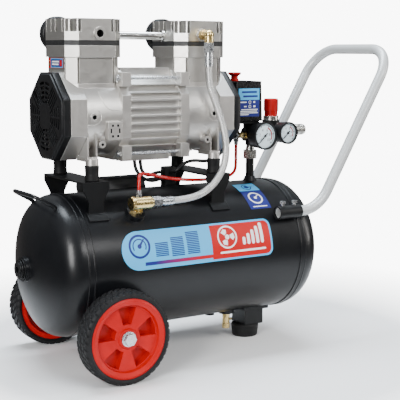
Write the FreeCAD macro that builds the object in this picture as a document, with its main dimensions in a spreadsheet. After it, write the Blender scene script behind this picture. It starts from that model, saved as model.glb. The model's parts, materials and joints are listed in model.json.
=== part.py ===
"""Portable oil-free air compressor: a twin-cylinder direct-drive pump on a wheeled 24 litre tank.

Millimetres, +Z up.  The shapes are drawn about the middle of the tank's footprint, X along the tank
towards the push handle, Y away from the side that carries the gauges.  Each sub-part's Placement then
moves it by tank_x, so that the origin lies under the middle of the whole machine, on the floor.
"""
import FreeCAD, Part
import Sketcher
import math
import os
import re

Vector = FreeCAD.Vector
Rotation = FreeCAD.Rotation

SIZES = {
    # tank
    "tank_x": -73.09,
    "tank_radius": 125,
    "tank_wall": 2.5,
    "tank_axis": 183,
    "shell_half": 214,
    "seam_half": 226,
    "seam_step": 0.8,
    "dish_depth": 62,
    "dish_knuckle": 42.8,
    "dish_crown": 231.8,
    "weld_bead": 1.6,
    "boss_reach": 6,
    "boss_radius": 22,
    "plug_radius": 14,
    "plug_length": 9,
    # wheels, foot and their brackets
    "wheel_x": -174,
    "wheel_radius": 80.5,
    "rim_radius": 69,
    "wheel_width": 42,
    "wheel_inner": 125,
    "hub_bore": 6.05,
    "axle_radius": 6,
    "axle_bracket": 30,
    "foot_x": 175,
    "foot_radius": 25,
    "foot_top_radius": 27,
    "foot_height": 25,
    "foot_bracket": 42,
    # push handle and grab handle
    "handle_y": 117,
    "handle_z": 260,
    "handle_radius": 10,
    "handle_wall": 1.5,
    "handle_lean": 0.59,
    "handle_bend_x": 261,
    "handle_top": 562,
    "socket_start": 164,
    "socket_length": 51,
    "socket_radius": 12.5,
    "socket_bore": 10.3,
    "grab_radius": 3.6,
    "grab_y": 47,
    # saddle brackets and rubber mounts
    "mount_half": 123.5,
    "mount_y": 64,
    "plate_top": 336,
    "sheet": 3,
    "plate_half": 25,
    "leg_half": 14,
    "leg_y": 80,
    "rubber_radius": 12.5,
    "rubber_height": 27,
    "collar_radius": 11,
    # pump
    "pump_x": -66.5,
    "pump_axis": 444.7,
    "motor_half": 50,
    "flange_end": 67.5,
    "barrel_end": 133.6,
    "housing_end": 163.7,
    "cover_end": 180,
    "barrel_radius": 70,
    "housing_y": 70.2,
    "housing_z": 74.7,
    "housing_cut_y": 46,
    "housing_cut_z": 44,
    "casting_wall": 5,
    "bearing_radius": 16,
    "bearing_width": 9,
    "shaft_radius": 7.5,
    "motor_y": 72,
    "motor_z": 82,
    "fin_pitch": 13.6,
    "fin_thick": 3,
    "stator_radius": 56,
    "rotor_radius": 29.5,
    "tie_y": 60,
    "tie_z": 65,
    "tie_radius": 3,
    "fan_radius": 56,
    # cylinders and heads
    "head_offset": 106.8,
    "cylinder_foot": 501,
    "shoulder_z": 545,
    "gasket_z": 565,
    "head_z": 571,
    "head_fins": 588,
    "head_top": 610,
    "bore_radius": 31.5,
    "piston_radius": 31.4,
    "half_stroke": 9,
    "crank_radius": 24,
    "port_z": 585,
    "port_radius": 6.5,
    "transfer_radius": 7,
    "filter_radius": 31,
    # air controls
    "riser_x": 183,
    "riser_radius": 8,
    "union_z": 351,
    "manifold_z": 397.8,
    "switch_x": 158,
    "switch_floor": 425,
    "switch_top": 499,
    "regulator_x": 232,
    "gauge_large": 26.5,
    "gauge_small": 21.5,
    "gauge_large_y": -53,
    "gauge_small_y": -59.5,
    "gauge_depth": 26,
    "gauge_reach": 33,
    "coupler_radius": 11,
    # check valve, hose, tube and cables
    "check_x": -119,
    "check_lean": 42,
    "check_reach": 155,
    "hose_radius": 6.5,
    "tube_radius": 3,
    "cable_radius": 3.2,
    # drain
    "drain_x": 130,
}

document = FreeCAD.newDocument("air_compressor")
sheet = document.addObject("Spreadsheet::Sheet", "sizes")
for row, (alias, number) in enumerate(SIZES.items(), 1):
    sheet.set(f"A{row}", alias)
    sheet.set(f"B{row}", str(number))
    sheet.setAlias(f"B{row}", alias)
document.recompute()

ALONG = {
    "x": Rotation(Vector(0, 1, 0), 90),
    "y": Rotation(Vector(1, 0, 0), -90),
    "z": Rotation(),
}
pieces = {}
offsets = {}


# ---------------------------------------------------------------- helpers

def bind(text):
    """An expression in which every word that is an alias reads its cell."""
    return re.sub(r"[a-z]+(?:_[a-z0-9]+)*",
                  lambda word: "sizes." + word[0] if word[0] in SIZES else word[0], str(text))


def size(alias):
    return float(sheet.get(alias))


def place(thing, x=0, y=0, z=0, turn=None):
    thing.Placement = FreeCAD.Placement(Vector(), turn or Rotation())
    offsets[thing.Name] = x
    for letter, distance in zip("xyz", (x, y, z)):
        thing.setExpression("Placement.Base." + letter, bind(distance))
    return thing


def primitive(kind, dims, x, y, z, turn):
    thing = document.addObject("Part::" + kind, kind)
    for name, text in dims.items():
        thing.setExpression(name, bind(text))
    return place(thing, x, y, z, turn)


def rod(radius, length, x=0, y=0, z=0, along="x", turn=None):
    """A cylinder that starts at x, y, z and runs towards + along the named axis."""
    dims = {"Radius": radius, "Height": length}
    return primitive("Cylinder", dims, x, y, z, turn or ALONG[along])


def taper(start, end, length, x=0, y=0, z=0, along="z", turn=None):
    dims = {"Radius1": start, "Radius2": end, "Height": length}
    return primitive("Cone", dims, x, y, z, turn or ALONG[along])


def block(wide, deep, high, x=0, y=0, z=0):
    """A box centred on x and y that stands on z."""
    dims = {"Length": wide, "Width": deep, "Height": high}
    return primitive("Box", dims, f"{x} - ({wide}) / 2", f"{y} - ({deep}) / 2", z, Rotation())


def ring(radius, thick, x=0, y=0, z=0, along="x"):
    return primitive("Torus", {"Radius1": radius, "Radius2": thick}, x, y, z, ALONG[along])


def nut(across, length, x=0, y=0, z=0, along="x", turn=None):
    """A hexagonal prism, given by its width across the flats."""
    thing = document.addObject("Part::Prism", "Prism")
    thing.Polygon = 6
    thing.setExpression("Circumradius", bind(f"({across}) / sqrt(3)"))
    thing.setExpression("Height", bind(length))
    return place(thing, x, y, z, turn or ALONG[along])


def fuse(*things):
    if len(things) == 1:
        return things[0]
    whole = document.addObject("Part::MultiFuse", "Fusion")
    whole.Shapes = list(things)
    return whole


def cut(base, *tools):
    whole = document.addObject("Part::Cut", "Cut")
    whole.Base = base
    whole.Tool = fuse(*tools)
    return whole


def common(*things):
    whole = document.addObject("Part::MultiCommon", "Common")
    whole.Shapes = list(things)
    return whole


def together(*things):
    """Separate solids kept side by side in one sub-part."""
    whole = document.addObject("Part::Compound", "Group")
    whole.Links = list(things)
    return whole


def solid(shape):
    """A piece shaped directly from the sheet's sizes."""
    thing = document.addObject("Part::Feature", "Shape")
    thing.Shape = shape
    return thing


def origin_plane(body, role):
    return next(feature for feature in body.Origin.OriginFeatures if feature.Role == role)


def draw(body, plane, corners=None, circles=()):
    """A sketch on one of the body's own planes; every corner and circle is bound to the sheet."""
    sketch = body.newObject("Sketcher::SketchObject", "Sketch")
    sketch.AttachmentSupport = [(origin_plane(body, plane), "")]
    sketch.MapMode = "FlatFace"
    corners = corners or []
    count = len(corners)
    turn = 2 * math.pi / max(count, 1)
    points = [Vector(50 * math.cos(turn * i), 50 * math.sin(turn * i), 0) for i in range(count)]
    for i in range(count):
        sketch.addGeometry(Part.LineSegment(points[i], points[(i + 1) % count]), False)
    for i in range(count):
        sketch.addConstraint(Sketcher.Constraint("Coincident", i, 2, (i + 1) % count, 1))
    for i, corner in enumerate(corners):
        hold(sketch, "DistanceX", i, 1, corner[0])
        hold(sketch, "DistanceY", i, 1, corner[1])
    for across, up, radius in circles:
        index = sketch.addGeometry(Part.Circle(Vector(10, 10, 0), Vector(0, 0, 1), 5), False)
        hold(sketch, "DistanceX", index, 3, across)
        hold(sketch, "DistanceY", index, 3, up)
        number = sketch.addConstraint(Sketcher.Constraint("Radius", index, 5))
        sketch.setExpression(f"Constraints[{number}]", bind(radius))
    return sketch


def hold(sketch, kind, index, end, distance):
    number = sketch.addConstraint(Sketcher.Constraint(kind, -1, 1, index, end, 10))
    sketch.setExpression(f"Constraints[{number}]", bind(distance))


def prism(plane, corners, length, x=0, y=0, z=0, circles=()):
    """A padded outline. The pad rises along +X, -Y or +Z from planes YZ, XZ and XY."""
    body = document.addObject("PartDesign::Body", "Body")
    pad = body.newObject("PartDesign::Pad", "Pad")
    pad.Profile = draw(body, plane, corners, circles)
    pad.setExpression("Length", bind(length))
    return place(body, x, y, z)


def turned(corners, x=0, y=0, z=0, turn=None):
    """A profile of (radius, height) corners revolved about the Z axis, then turned."""
    body = document.addObject("PartDesign::Body", "Body")
    spin = body.newObject("PartDesign::Revolution", "Revolution")
    sketch = draw(body, "XZ_Plane", corners)
    spin.Profile = sketch
    spin.ReferenceAxis = (sketch, ["V_Axis"])
    spin.Angle = 360
    return place(body, x, y, z, turn)


def clipped(half_a, half_b, cut_a, cut_b):
    """The eight corners of a rectangle with its corners cut off."""
    a, b = f"({half_a})", f"({half_b})"
    near_a, near_b = f"({half_a} - {cut_a})", f"({half_b} - {cut_b})"
    return [(a, "0 - " + near_b), (a, near_b), (near_a, b), ("0 - " + near_a, b),
            ("0 - " + a, near_b), ("0 - " + a, "0 - " + near_b),
            ("0 - " + near_a, "0 - " + b), (near_a, "0 - " + b)]


def span(side, near, far):
    """Start and length along X of a piece between two distances from the pump's middle."""
    length = f"({far}) - ({near})"
    start = f"pump_x + ({near})" if side > 0 else f"pump_x - ({far})"
    return start, length


def barrel(side, radius, near, far, y="0", z="pump_axis"):
    start, length = span(side, near, far)
    return rod(radius, length, start, y, z)


def octagon(side, near, far, shrink="0"):
    start, length = span(side, near, far)
    corners = clipped(f"housing_y - {shrink}", f"housing_z - {shrink}", "housing_cut_y", "housing_cut_z")
    return prism("YZ_Plane", corners, length, start, 0, "pump_axis")


def route(points, radii=None):
    """Straight runs joined by tangent arcs; without radii each arc is as large as its runs allow."""
    points = [Vector(*point) for point in points]
    edges = []
    used = []
    start = points[0]
    for i in range(1, len(points) - 1):
        back = points[i - 1] - points[i]
        ahead = points[i + 1] - points[i]
        half_turn = (math.pi - back.getAngle(ahead)) / 2
        run = min(back.Length, ahead.Length)
        radius = radii[i - 1] if radii else 0.45 * run / math.tan(half_turn)
        reach = radius * math.tan(half_turn)
        back.normalize()
        ahead.normalize()
        entry = points[i] + back * reach
        leave = points[i] + ahead * reach
        middle = back + ahead
        middle.normalize()
        apex = points[i] + middle * (radius / math.cos(half_turn) - radius)
        edges.append(Part.LineSegment(start, entry).toShape())
        edges.append(Part.Arc(entry, apex, leave).toShape())
        start = leave
        used.append(radius)
    edges.append(Part.LineSegment(start, points[-1]).toShape())
    return Part.Wire(edges), used


def tube(points, radius, bore=0.0, radii=None, name=""):
    """A round bar or tube along a route; its volume is checked against section times length."""
    path, used = route(points, radii)
    way = Vector(*points[1]) - Vector(*points[0])

    def swept(reach):
        section = Part.Wire([Part.makeCircle(reach, Vector(*points[0]), way)])
        return path.makePipeShell([section], True, False)

    shape = swept(radius)
    area = math.pi * radius ** 2
    if bore:
        shape = shape.cut(swept(bore))
        area -= math.pi * bore ** 2
    ratio = shape.Volume / (area * path.Length)
    if abs(ratio - 1) > 0.01:
        raise ValueError(f"{name}: swept volume is {ratio:.3f} of section times length")
    smallest = min(used)
    print(f"{name}: length {path.Length:.1f}, smallest radius {smallest:.1f}, volume ratio {ratio:.4f}")
    return solid(shape)


def publish(name, thing):
    """Name a finished sub-part and move it from the tank's middle to the machine's frame."""
    thing.Label = name
    thing.setExpression("Placement.Base.x", bind(f"tank_x + {offsets.get(thing.Name, 0)}"))
    pieces[name] = thing


# ---------------------------------------------------------------- tank

def tank_shell():
    surface = "tank_axis - tank_radius"
    shell = rod("tank_radius", "2 * shell_half", "0 - shell_half", 0, "tank_axis")
    inside = rod("tank_radius - tank_wall", "2 * shell_half + 2", "0 - shell_half - 1", 0, "tank_axis")
    lean = Rotation(Vector(1, 0, 0), size("check_lean"))
    check_boss = rod(17, "check_reach - 20", "check_x", 0, "tank_axis", turn=lean)
    check_bore = rod(8, "check_reach", "check_x", 0, "tank_axis", turn=lean)
    riser_boss = taper(15, 9, 12, "riser_x", 0, "tank_axis + tank_radius - 3")
    riser_bore = rod(6, 40, "riser_x", 0, "tank_axis + tank_radius - 20", "z")
    drain_boss = rod(15, 20, "drain_x", 0, f"{surface} - 8", "z")
    drain_bore = rod(5, 40, "drain_x", 0, f"{surface} - 10", "z")
    outside = fuse(shell, check_boss, riser_boss, drain_boss)
    publish("tank_shell", cut(outside, inside, check_bore, riser_bore, drain_bore))


def dish_profile(radius, knuckle, crown):
    """The knuckle and crown arcs of a dished end, from the seam to the axis, in the XZ plane."""
    rim = size("seam_half")
    centre = size("seam_half") + size("dish_depth") - size("dish_crown")
    bend = Vector(rim, 0, size("tank_radius") + size("seam_step") - size("dish_knuckle"))
    slope = bend - Vector(centre, 0, 0)
    slope.normalize()
    meet = Vector(centre, 0, 0) + slope * crown
    diagonal = Vector(slope.x, 0, slope.z + 1)
    diagonal.normalize()
    turn = math.atan2(slope.z, slope.x) / 2
    first = Part.Arc(Vector(rim, 0, radius), bend + diagonal * knuckle, meet)
    second = Part.Arc(meet, Vector(centre + crown * math.cos(turn), 0, crown * math.sin(turn)),
                      Vector(centre + crown, 0, 0))
    return [first.toShape(), second.toShape()]


def tank_end(side, name):
    """A pressed dish with a short skirt and the weld beads that join it to the shell."""
    outer = size("tank_radius") + size("seam_step")
    wall = size("tank_wall") + size("seam_step")
    skirt = size("shell_half")
    rim = size("seam_half")
    crown = rim + size("dish_depth")
    outside = dish_profile(outer, size("dish_knuckle"), size("dish_crown"))
    inside = dish_profile(outer - wall, size("dish_knuckle") - wall, size("dish_crown") - wall)
    runs = [(skirt, outer - wall, skirt, outer), (skirt, outer, rim, outer),
            (crown, 0, crown - wall, 0), (rim, outer - wall, skirt, outer - wall)]
    edges = [Part.LineSegment(Vector(a, 0, b), Vector(c, 0, d)).toShape() for a, b, c, d in runs]
    profile = Part.Wire(Part.__sortEdges__(edges + outside + inside))
    shape = Part.Face(profile).revolve(Vector(), Vector(1, 0, 0), 360)
    bead = size("weld_bead")
    for along in (skirt + bead, rim):
        weld = Part.makeTorus(outer - bead / 2, bead, Vector(along, 0, 0), Vector(1, 0, 0))
        shape = shape.fuse(weld)
    if side < 0:
        shape.rotate(Vector(), Vector(0, 0, 1), 180)
        reach = size("boss_reach")
        left = Vector(1, 0, 0)
        boss = Part.makeCylinder(size("boss_radius"), reach + 8, Vector(-crown - reach, 0, 0), left)
        bore = Part.makeCylinder(size("plug_radius") - 4, 30, Vector(-crown - 20, 0, 0), left)
        shape = shape.fuse(boss).cut(bore)
    shape.translate(Vector(0, 0, size("tank_axis")))
    publish(name, solid(shape.removeSplitter()))


def tank_plugs():
    """The ribbed plug in the left end's boss and the hexagonal bung under the shell."""
    face = "0 - seam_half - dish_depth - boss_reach"
    stem = rod("plug_radius - 4.2", 10, face, 0, "tank_axis")
    collars = [rod(radius, 2.6, f"{face} - {start}", 0, "tank_axis")
               for radius, start in (("plug_radius + 5", 2.6), ("plug_radius + 3", 6.2))]
    body = rod("plug_radius", "plug_length", f"{face} - plug_length", 0, "tank_axis")
    socket = nut(12, 9, f"{face} - plug_length - 1", 0, "tank_axis")
    end_plug = cut(fuse(stem, body, *collars), socket)
    under = "tank_axis - tank_radius"
    bung = fuse(nut(17, 6, 92, 0, f"{under} - 7", "z"), rod(11, 3, 92, 0, f"{under} - 1.2", "z"))
    shell = rod("tank_radius + 0.05", 60, 60, 0, "tank_axis")
    publish("tank_plugs", together(end_plug, cut(bung, shell)))


def grab_handle():
    """The bent bar welded to the left dish."""
    reach = size("grab_y")
    side = [(-262, 262), (-247, 291), (-290, 315)]
    points = [(x, -reach, z) for x, z in side] + [(x, reach, z) for x, z in reversed(side)]
    bar = tube(points, size("grab_radius"), radii=[9, 16, 16, 9], name="grab_handle")
    rim = size("seam_half")
    outer = size("tank_radius") + size("seam_step")
    edges = dish_profile(outer, size("dish_knuckle"), size("dish_crown"))
    corners = [Vector(rim + size("dish_depth"), 0, 0), Vector(rim - 10, 0, 0), Vector(rim - 10, 0, outer),
               Vector(rim, 0, outer)]
    edges += [Part.LineSegment(corners[i], corners[i + 1]).toShape() for i in range(3)]
    dish = Part.Face(Part.Wire(Part.__sortEdges__(edges))).revolve(Vector(), Vector(1, 0, 0), 360)
    dish.rotate(Vector(), Vector(0, 0, 1), 180)
    dish.translate(Vector(0, 0, size("tank_axis")))
    publish("grab_handle", solid(bar.Shape.cut(dish)))


# ---------------------------------------------------------------- push handle

BOLT_X = ("socket_start + 12", "socket_start + 39")


def push_handle():
    y = size("handle_y")
    z = size("handle_z")
    bend = size("handle_bend_x")
    top = size("handle_top")
    crown = bend + (top - z) * size("handle_lean")
    start = size("socket_start") + 4
    side = [(start, z), (bend, z), (crown, top)]
    points = [(a, -y, b) for a, b in side] + [(a, y, b) for a, b in reversed(side)]
    bore = size("handle_radius") - size("handle_wall")
    publish("push_handle", tube(points, size("handle_radius"), bore, [70, 62, 62, 70], "push_handle"))


def handle_sockets():
    """Two welded steel sockets that take the ends of the push handle."""
    sockets = []
    for side in (-1, 1):
        y = f"{side} * handle_y"
        sleeve = rod("socket_radius", "socket_length", "socket_start", y, "handle_z")
        lean = math.degrees(math.atan2(size("handle_y"), size("handle_z") - size("tank_axis")))
        turn = Rotation(Vector(1, 0, 0), -side * lean)
        saddle = primitive("Box", {"Length": "socket_length - 8", "Width": 12, "Height": 14},
                           "socket_start + 4", 0, 0, turn)
        middle = turn.multVec(Vector(0, -6, size("tank_radius") - 4))
        place(saddle, "socket_start + 4", middle.y, f"tank_axis + {middle.z}", turn)
        tank = rod("tank_radius + 0.05", "socket_length + 40", "socket_start - 20", 0, "tank_axis")
        bore = rod("socket_bore", "socket_length + 2", "socket_start - 1", y, "handle_z")
        holes = [rod(3.1, 20, x, y, "handle_z", "z") for x in BOLT_X]
        sockets.append(cut(fuse(sleeve, saddle), tank, bore, *holes))
    publish("handle_sockets", together(*sockets))


def handle_bolts():
    bolts = []
    for side in (-1, 1):
        for x in BOLT_X:
            y = f"{side} * handle_y"
            stem = rod(3, "socket_radius + 5 - handle_radius", x, y, "handle_z + handle_radius", "z")
            head = nut(10, 4.5, x, y, "handle_z + socket_radius + 4", "z")
            bolts.append(fuse(stem, head))
    publish("handle_bolts", together(*bolts))


# ---------------------------------------------------------------- wheels and foot

def wheel(side, name):
    """One wheel: the moulded hub and the rubber tyre, with a clearance bore for the axle bolt."""
    turn = Rotation(Vector(1, 0, 0), -90 * side)
    width = "wheel_width"
    rim = "rim_radius"
    hub_profile = [("hub_bore", 0), (16, 0), (16, 16), (f"{rim} - 12", 16), (f"{rim} - 9", 3), (rim, 3),
                   (rim, f"{width} - 2"), (f"{rim} - 4", f"{width}"), (f"{rim} - 11", f"{width} - 3"),
                   (f"{rim} - 13", f"{width} - 9"), (18, f"{width} - 9"), (16, f"{width} - 5"),
                   ("hub_bore", f"{width} - 5")]
    hub = turned(hub_profile, "wheel_x", f"{side} * wheel_inner", "wheel_radius", turn)
    pockets = []
    for i in range(5):
        angle = math.radians(90 + 72 * i)
        outline = sector(24, size("rim_radius") - 15, 18, angle)
        pocket = solid(Part.Face(outline).extrude(Vector(0, 0, 16)))
        floor = f"{side} * (wheel_inner + {width} - 22)"
        pockets.append(place(pocket, "wheel_x", floor, "wheel_radius", turn))
    publish("wheel_hub_" + name, cut(hub, *pockets))
    tyre_profile = [(rim, "2"), ("wheel_radius - 6", "0"), ("wheel_radius - 2", "2"), ("wheel_radius", "8"),
                    ("wheel_radius", f"{width} - 8"), ("wheel_radius - 2", f"{width} - 2"),
                    ("wheel_radius - 6", width), (rim, f"{width} - 2")]
    tyre = turned(tyre_profile, "wheel_x", f"{side} * wheel_inner", "wheel_radius", turn)
    publish("tyre_" + name, tyre)


def sector(inner, outer, half_degrees, middle):
    """A closed outline between two arcs, symmetrical about the angle given in radians."""
    spread = math.radians(half_degrees)

    def at(radius, angle):
        return Vector(radius * math.cos(angle), radius * math.sin(angle), 0)

    low, high = middle - spread, middle + spread
    return Part.Wire([
        Part.Arc(at(outer, low), at(outer, middle), at(outer, high)).toShape(),
        Part.LineSegment(at(outer, high), at(inner, high)).toShape(),
        Part.Arc(at(inner, high), at(inner, middle), at(inner, low)).toShape(),
        Part.LineSegment(at(inner, low), at(outer, low)).toShape(),
    ])


def axle_bolts():
    """A long bolt for each wheel, with its washer, its flanged spacer and its lock nut."""
    bolts = []
    for side in (-1, 1):
        turn = Rotation(Vector(1, 0, 0), -90 * side)

        def out(distance):
            """Where the wheel's axis is at a distance from the wheel's inner face."""
            return ("wheel_x", f"{side} * (wheel_inner + {distance})", "wheel_radius")

        shank = rod("axle_radius", "wheel_width + 30", *out(-28), turn=turn)
        head = nut(19, 7, *out("wheel_width - 2.6"), turn=turn)
        washer = rod(13, 2, *out("wheel_width - 4.6"), turn=turn)
        spacer = rod(9, 4.6, *out(-5), turn=turn)
        lock_nut = nut(18, 8, *out(-20), turn=turn)
        bolts.append(fuse(shank, head, washer, spacer, lock_nut))
    publish("axle_bolts", together(*bolts))


def chassis_brackets():
    """The folded lugs that carry the wheel bolts and the box under the tank for the foot."""
    tank = rod("tank_radius + 0.05", 600, -300, 0, "tank_axis")
    lugs = []
    for side in (-1, 1):
        lug = block("axle_bracket", 66, 34, "wheel_x", f"{side} * 87", "wheel_radius - 16")
        hollow = block("axle_bracket - 6", 58, 40, "wheel_x", f"{side} * 84", "wheel_radius - 19")
        hole = rod("axle_radius + 0.05", 60, "wheel_x", 80 if side > 0 else -140, "wheel_radius", "y")
        lugs.append(cut(lug, hollow, hole, tank))
    box = block("foot_bracket", 46, 60, "foot_x + 6", 0, "foot_height")
    hollow = block("foot_bracket - 6", 40, 60, "foot_x + 6", 0, "foot_height + 3")
    flange = block(58, 50, 10, "foot_x + 10", 0, "tank_axis - tank_radius - 4")
    foot_box = cut(fuse(cut(box, hollow), cut(flange, hollow)), tank)
    publish("chassis_brackets", together(foot_box, *lugs))


def rubber_foot():
    profile = [(0, 0), ("foot_radius - 2", 0), ("foot_radius", 2), ("foot_top_radius", "foot_height - 3"),
               ("foot_top_radius - 2", "foot_height"), (0, "foot_height")]
    publish("rubber_foot", turned(profile, "foot_x"))


def drain():
    """A small ball drain under the shell and the brass knob that opens it."""
    top = "tank_axis - tank_radius - 8"
    body = fuse(rod(6, 10, "drain_x", 0, f"{top} - 10", "z"), nut(14, 7, "drain_x", 0, f"{top} - 8", "z"),
                rod(7, 12, "drain_x", 0, f"{top} - 20", "z"), rod(2.4, 13, "drain_x", 0, f"{top} - 14"))
    bore = rod(4.05, 22, "drain_x", 0, f"{top} - 21", "z")
    publish("drain_valve", cut(body, bore))
    knob = fuse(rod(4, 12, "drain_x", 0, f"{top} - 21", "z"), rod(7.5, 9, "drain_x", 0, f"{top} - 30", "z"))
    grooves = []
    for i in range(10):
        angle = math.radians(36 * i)
        grooves.append(rod(0.9, 12, f"drain_x + {7.8 * math.cos(angle)}", 7.8 * math.sin(angle),
                           f"{top} - 31", "z"))
    publish("drain_knob", cut(knob, *grooves))


# ---------------------------------------------------------------- saddle brackets and mounts

MOUNTS = [(f"pump_x + {a} * mount_half", f"{b} * mount_y") for a in (-1, 1) for b in (-1, 1)]


def saddle_brackets():
    """Two folded sheet saddles: a top plate, narrowing legs and curved feet welded to the shoulders."""
    saddles = []
    tank = rod("tank_radius + 0.05", 600, -300, 0, "tank_axis")
    for side in (-1, 1):
        x = f"pump_x + {side} * mount_half"
        plate = block("2 * plate_half", "2 * leg_y", "sheet", x, 0, "plate_top - sheet")
        corners = [("plate_half", 0), ("0 - plate_half", 0), ("0 - plate_half", -12),
                   ("0 - leg_half", -34), ("0 - leg_half", -70), ("leg_half", -70),
                   ("leg_half", -34), ("plate_half", -12)]
        legs = [prism("XZ_Plane", corners, "sheet", x, y, "plate_top")
                for y in ("sheet - leg_y", "leg_y")]
        holes = [rod(4.5, 10, x, f"{way} * mount_y", "plate_top - 6", "z") for way in (-1, 1)]
        feet = []
        for first_degree in (217, 134):
            turn = ALONG["x"].multiply(Rotation(Vector(0, 0, 1), first_degree))
            shoe = primitive("Cylinder", {"Radius": "tank_radius + sheet", "Height": 37, "Angle": 9},
                             f"{x} - 18.5", 0, "tank_axis", turn)
            feet.append(shoe)
        saddles.append(cut(fuse(plate, *legs, *feet), tank, *holes))
    publish("saddle_brackets", together(*saddles))


def rubber_mounts():
    """Four rubber bushes that stand on the saddles; each has a clearance hole for its stud."""
    mounts = []
    for x, y in MOUNTS:
        profile = [(4, 0), ("rubber_radius - 1", 0), ("rubber_radius", 2), ("rubber_radius - 0.8", 13),
                   ("rubber_radius", "rubber_height - 2"), ("rubber_radius - 1", "rubber_height"),
                   (4, "rubber_height")]
        mounts.append(turned(profile, x, y, "plate_top"))
    publish("rubber_mounts", together(*mounts))


# ---------------------------------------------------------------- pump castings

def crankcase(side, name):
    """Cast end of the pump: motor flange, crank chamber, square fan housing, two feet and ribs."""
    start, length = span(side, "motor_half", "flange_end")
    flange_corners = clipped("motor_y - 2", "motor_z - 4", 38, 42)
    flange = prism("YZ_Plane", flange_corners, length, start, 0, "pump_axis")
    ears = [block("flange_end - motor_half", 18, 24, f"{start} + ({length}) / 2", f"{a} * (tie_y + 1)",
                  f"pump_axis + {b} * (tie_z - 2) - 12") for a in (-1, 1) for b in (-1, 1)]
    chamber = barrel(side, "barrel_radius", "flange_end - 2", "barrel_end + 2")
    housing = octagon(side, "barrel_end", "housing_end")
    centre = f"pump_x + {side} * head_offset"
    pad = prism("XY_Plane", clipped(50, 50.7, 16, 16), 45, centre, 0, "cylinder_foot - 45")
    x = f"pump_x + {side} * mount_half"
    foot_top = "plate_top + rubber_height"
    feet = []
    for way in (-1, 1):
        y = f"{way} * mount_y"
        feet.append(rod("collar_radius", 11, x, y, foot_top, "z"))
        for step in (-8, 8):
            feet.append(block(2.6, 34, 46, f"{x} + {step}", f"{way} * (mount_y - 14)", f"{foot_top} + 9"))
        feet.append(block(20, 40, 8, x, f"{way} * (mount_y - 18)", f"{foot_top} + 6"))
    bosses = [barrel_boss(side, 120.5, "pump_axis", 7), barrel_boss(side, 106, "pump_axis - 46.7", 6)]
    body = fuse(flange, *ears, chamber, housing, pad, *feet, *bosses)
    wall = "casting_wall"
    hollows = [
        barrel(side, f"barrel_radius - 2 * {wall}", "flange_end", "barrel_end + 1"),
        octagon(side, "barrel_end", "housing_end + 1", wall),
        barrel(side, "bearing_radius", "motor_half - 1", "flange_end + 1"),
        rod("bore_radius + 2", 60, centre, 0, "pump_axis", "z"),
        prism("XY_Plane", clipped(50.3, 51, 16, 16), 30, centre, 0, "cylinder_foot"),
        cylinder_hole(side, 120.5, "pump_axis", 4),
        cylinder_hole(side, 106, "pump_axis - 46.7", 2.6),
    ]
    hollows += [barrel(side, "tie_radius + 0.1", "motor_half - 1", "flange_end + 1",
                       f"{a} * tie_y", f"pump_axis + {b} * tie_z") for a in (-1, 1) for b in (-1, 1)]
    hollows += [rod(4, 8, x, f"{way} * mount_y", f"{foot_top} - 1", "z") for way in (-1, 1)]
    casting = cut(body, *hollows)
    if side < 0:
        casting = together(casting, vent_plate())
    publish("crankcase_" + name, casting)


def barrel_boss(side, offset, z, radius):
    return rod(radius, 24, f"pump_x + {side * offset}", "0 - barrel_radius - 0.8", z, "y")


def cylinder_hole(side, offset, z, radius):
    return rod(radius, 8, f"pump_x + {side * offset}", "0 - barrel_radius - 2", z, "y")


def vent_plate():
    """The square vent cap on the front of the left crank chamber."""
    x = "pump_x - 85"
    plate = block(27, 12, 30, x, -72, "pump_axis - 38.5")
    slots = []
    for side in (-1, 1):
        slots.append(block(3, 8, 8, f"{x} + {8 * side}", -78, "pump_axis - 27.5"))
        for up in (-1, 1):
            slots.append(block(4, 8, 4, f"{x} + {5 * side}", -78, f"pump_axis - 25.5 + {9 * up}"))
    case = rod("barrel_radius + 0.05", 60, f"{x} - 30", 0, "pump_axis")
    return cut(plate, case, *slots)


def motor_shell():
    """Extruded motor body with horizontal fins at the sides and upright fins above and below."""
    start = "pump_x - motor_half"
    length = "2 * motor_half"
    core = prism("YZ_Plane", clipped("motor_y - 9", "motor_z - 10", 36, 40), length, start, 0, "pump_axis")
    outline = prism("YZ_Plane", clipped("motor_y", "motor_z", 40, 50), length, start, 0, "pump_axis")
    fins = []
    for i in range(-4, 5):
        fins.append(block(length, "2 * motor_y", "fin_thick", "pump_x", 0,
                          f"pump_axis + {i} * fin_pitch - fin_thick / 2"))
    for i in range(-2, 3):
        fins.append(block(length, "fin_thick", "2 * motor_z", "pump_x", f"{i} * fin_pitch",
                          "pump_axis - motor_z"))
    bore = rod("stator_radius", f"{length} + 2", f"{start} - 1", 0, "pump_axis")
    publish("motor_shell", cut(common(fuse(core, *fins), outline), bore))


def motor_inside():
    start = "pump_x - 32"
    lamination = cut(rod("stator_radius - 0.02", 64, start, 0, "pump_axis"),
                     rod("rotor_radius + 0.5", 66, f"{start} - 1", 0, "pump_axis"))
    coils = []
    for side in (-1, 1):
        near = barrel(side, 50, 32, 46)
        coils.append(cut(near, barrel(side, 33, 31, 47)))
    publish("stator", together(lamination, *coils))
    rotor = cut(rod("rotor_radius", 64, start, 0, "pump_axis"),
                rod("shaft_radius + 0.02", 66, f"{start} - 1", 0, "pump_axis"))
    publish("rotor", rotor)
    shaft = rod("shaft_radius", "2 * cover_end - 22", "pump_x - cover_end + 11", 0, "pump_axis")
    publish("motor_shaft", shaft)
    bearings = []
    for side in (-1, 1):
        near = barrel(side, "bearing_radius - 0.02", "motor_half + 1", "motor_half + 1 + bearing_width")
        far = barrel(side, "shaft_radius + 0.05", "motor_half", "motor_half + 2 + bearing_width")
        bearings.append(cut(near, far))
    publish("shaft_bearings", together(*bearings))


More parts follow.
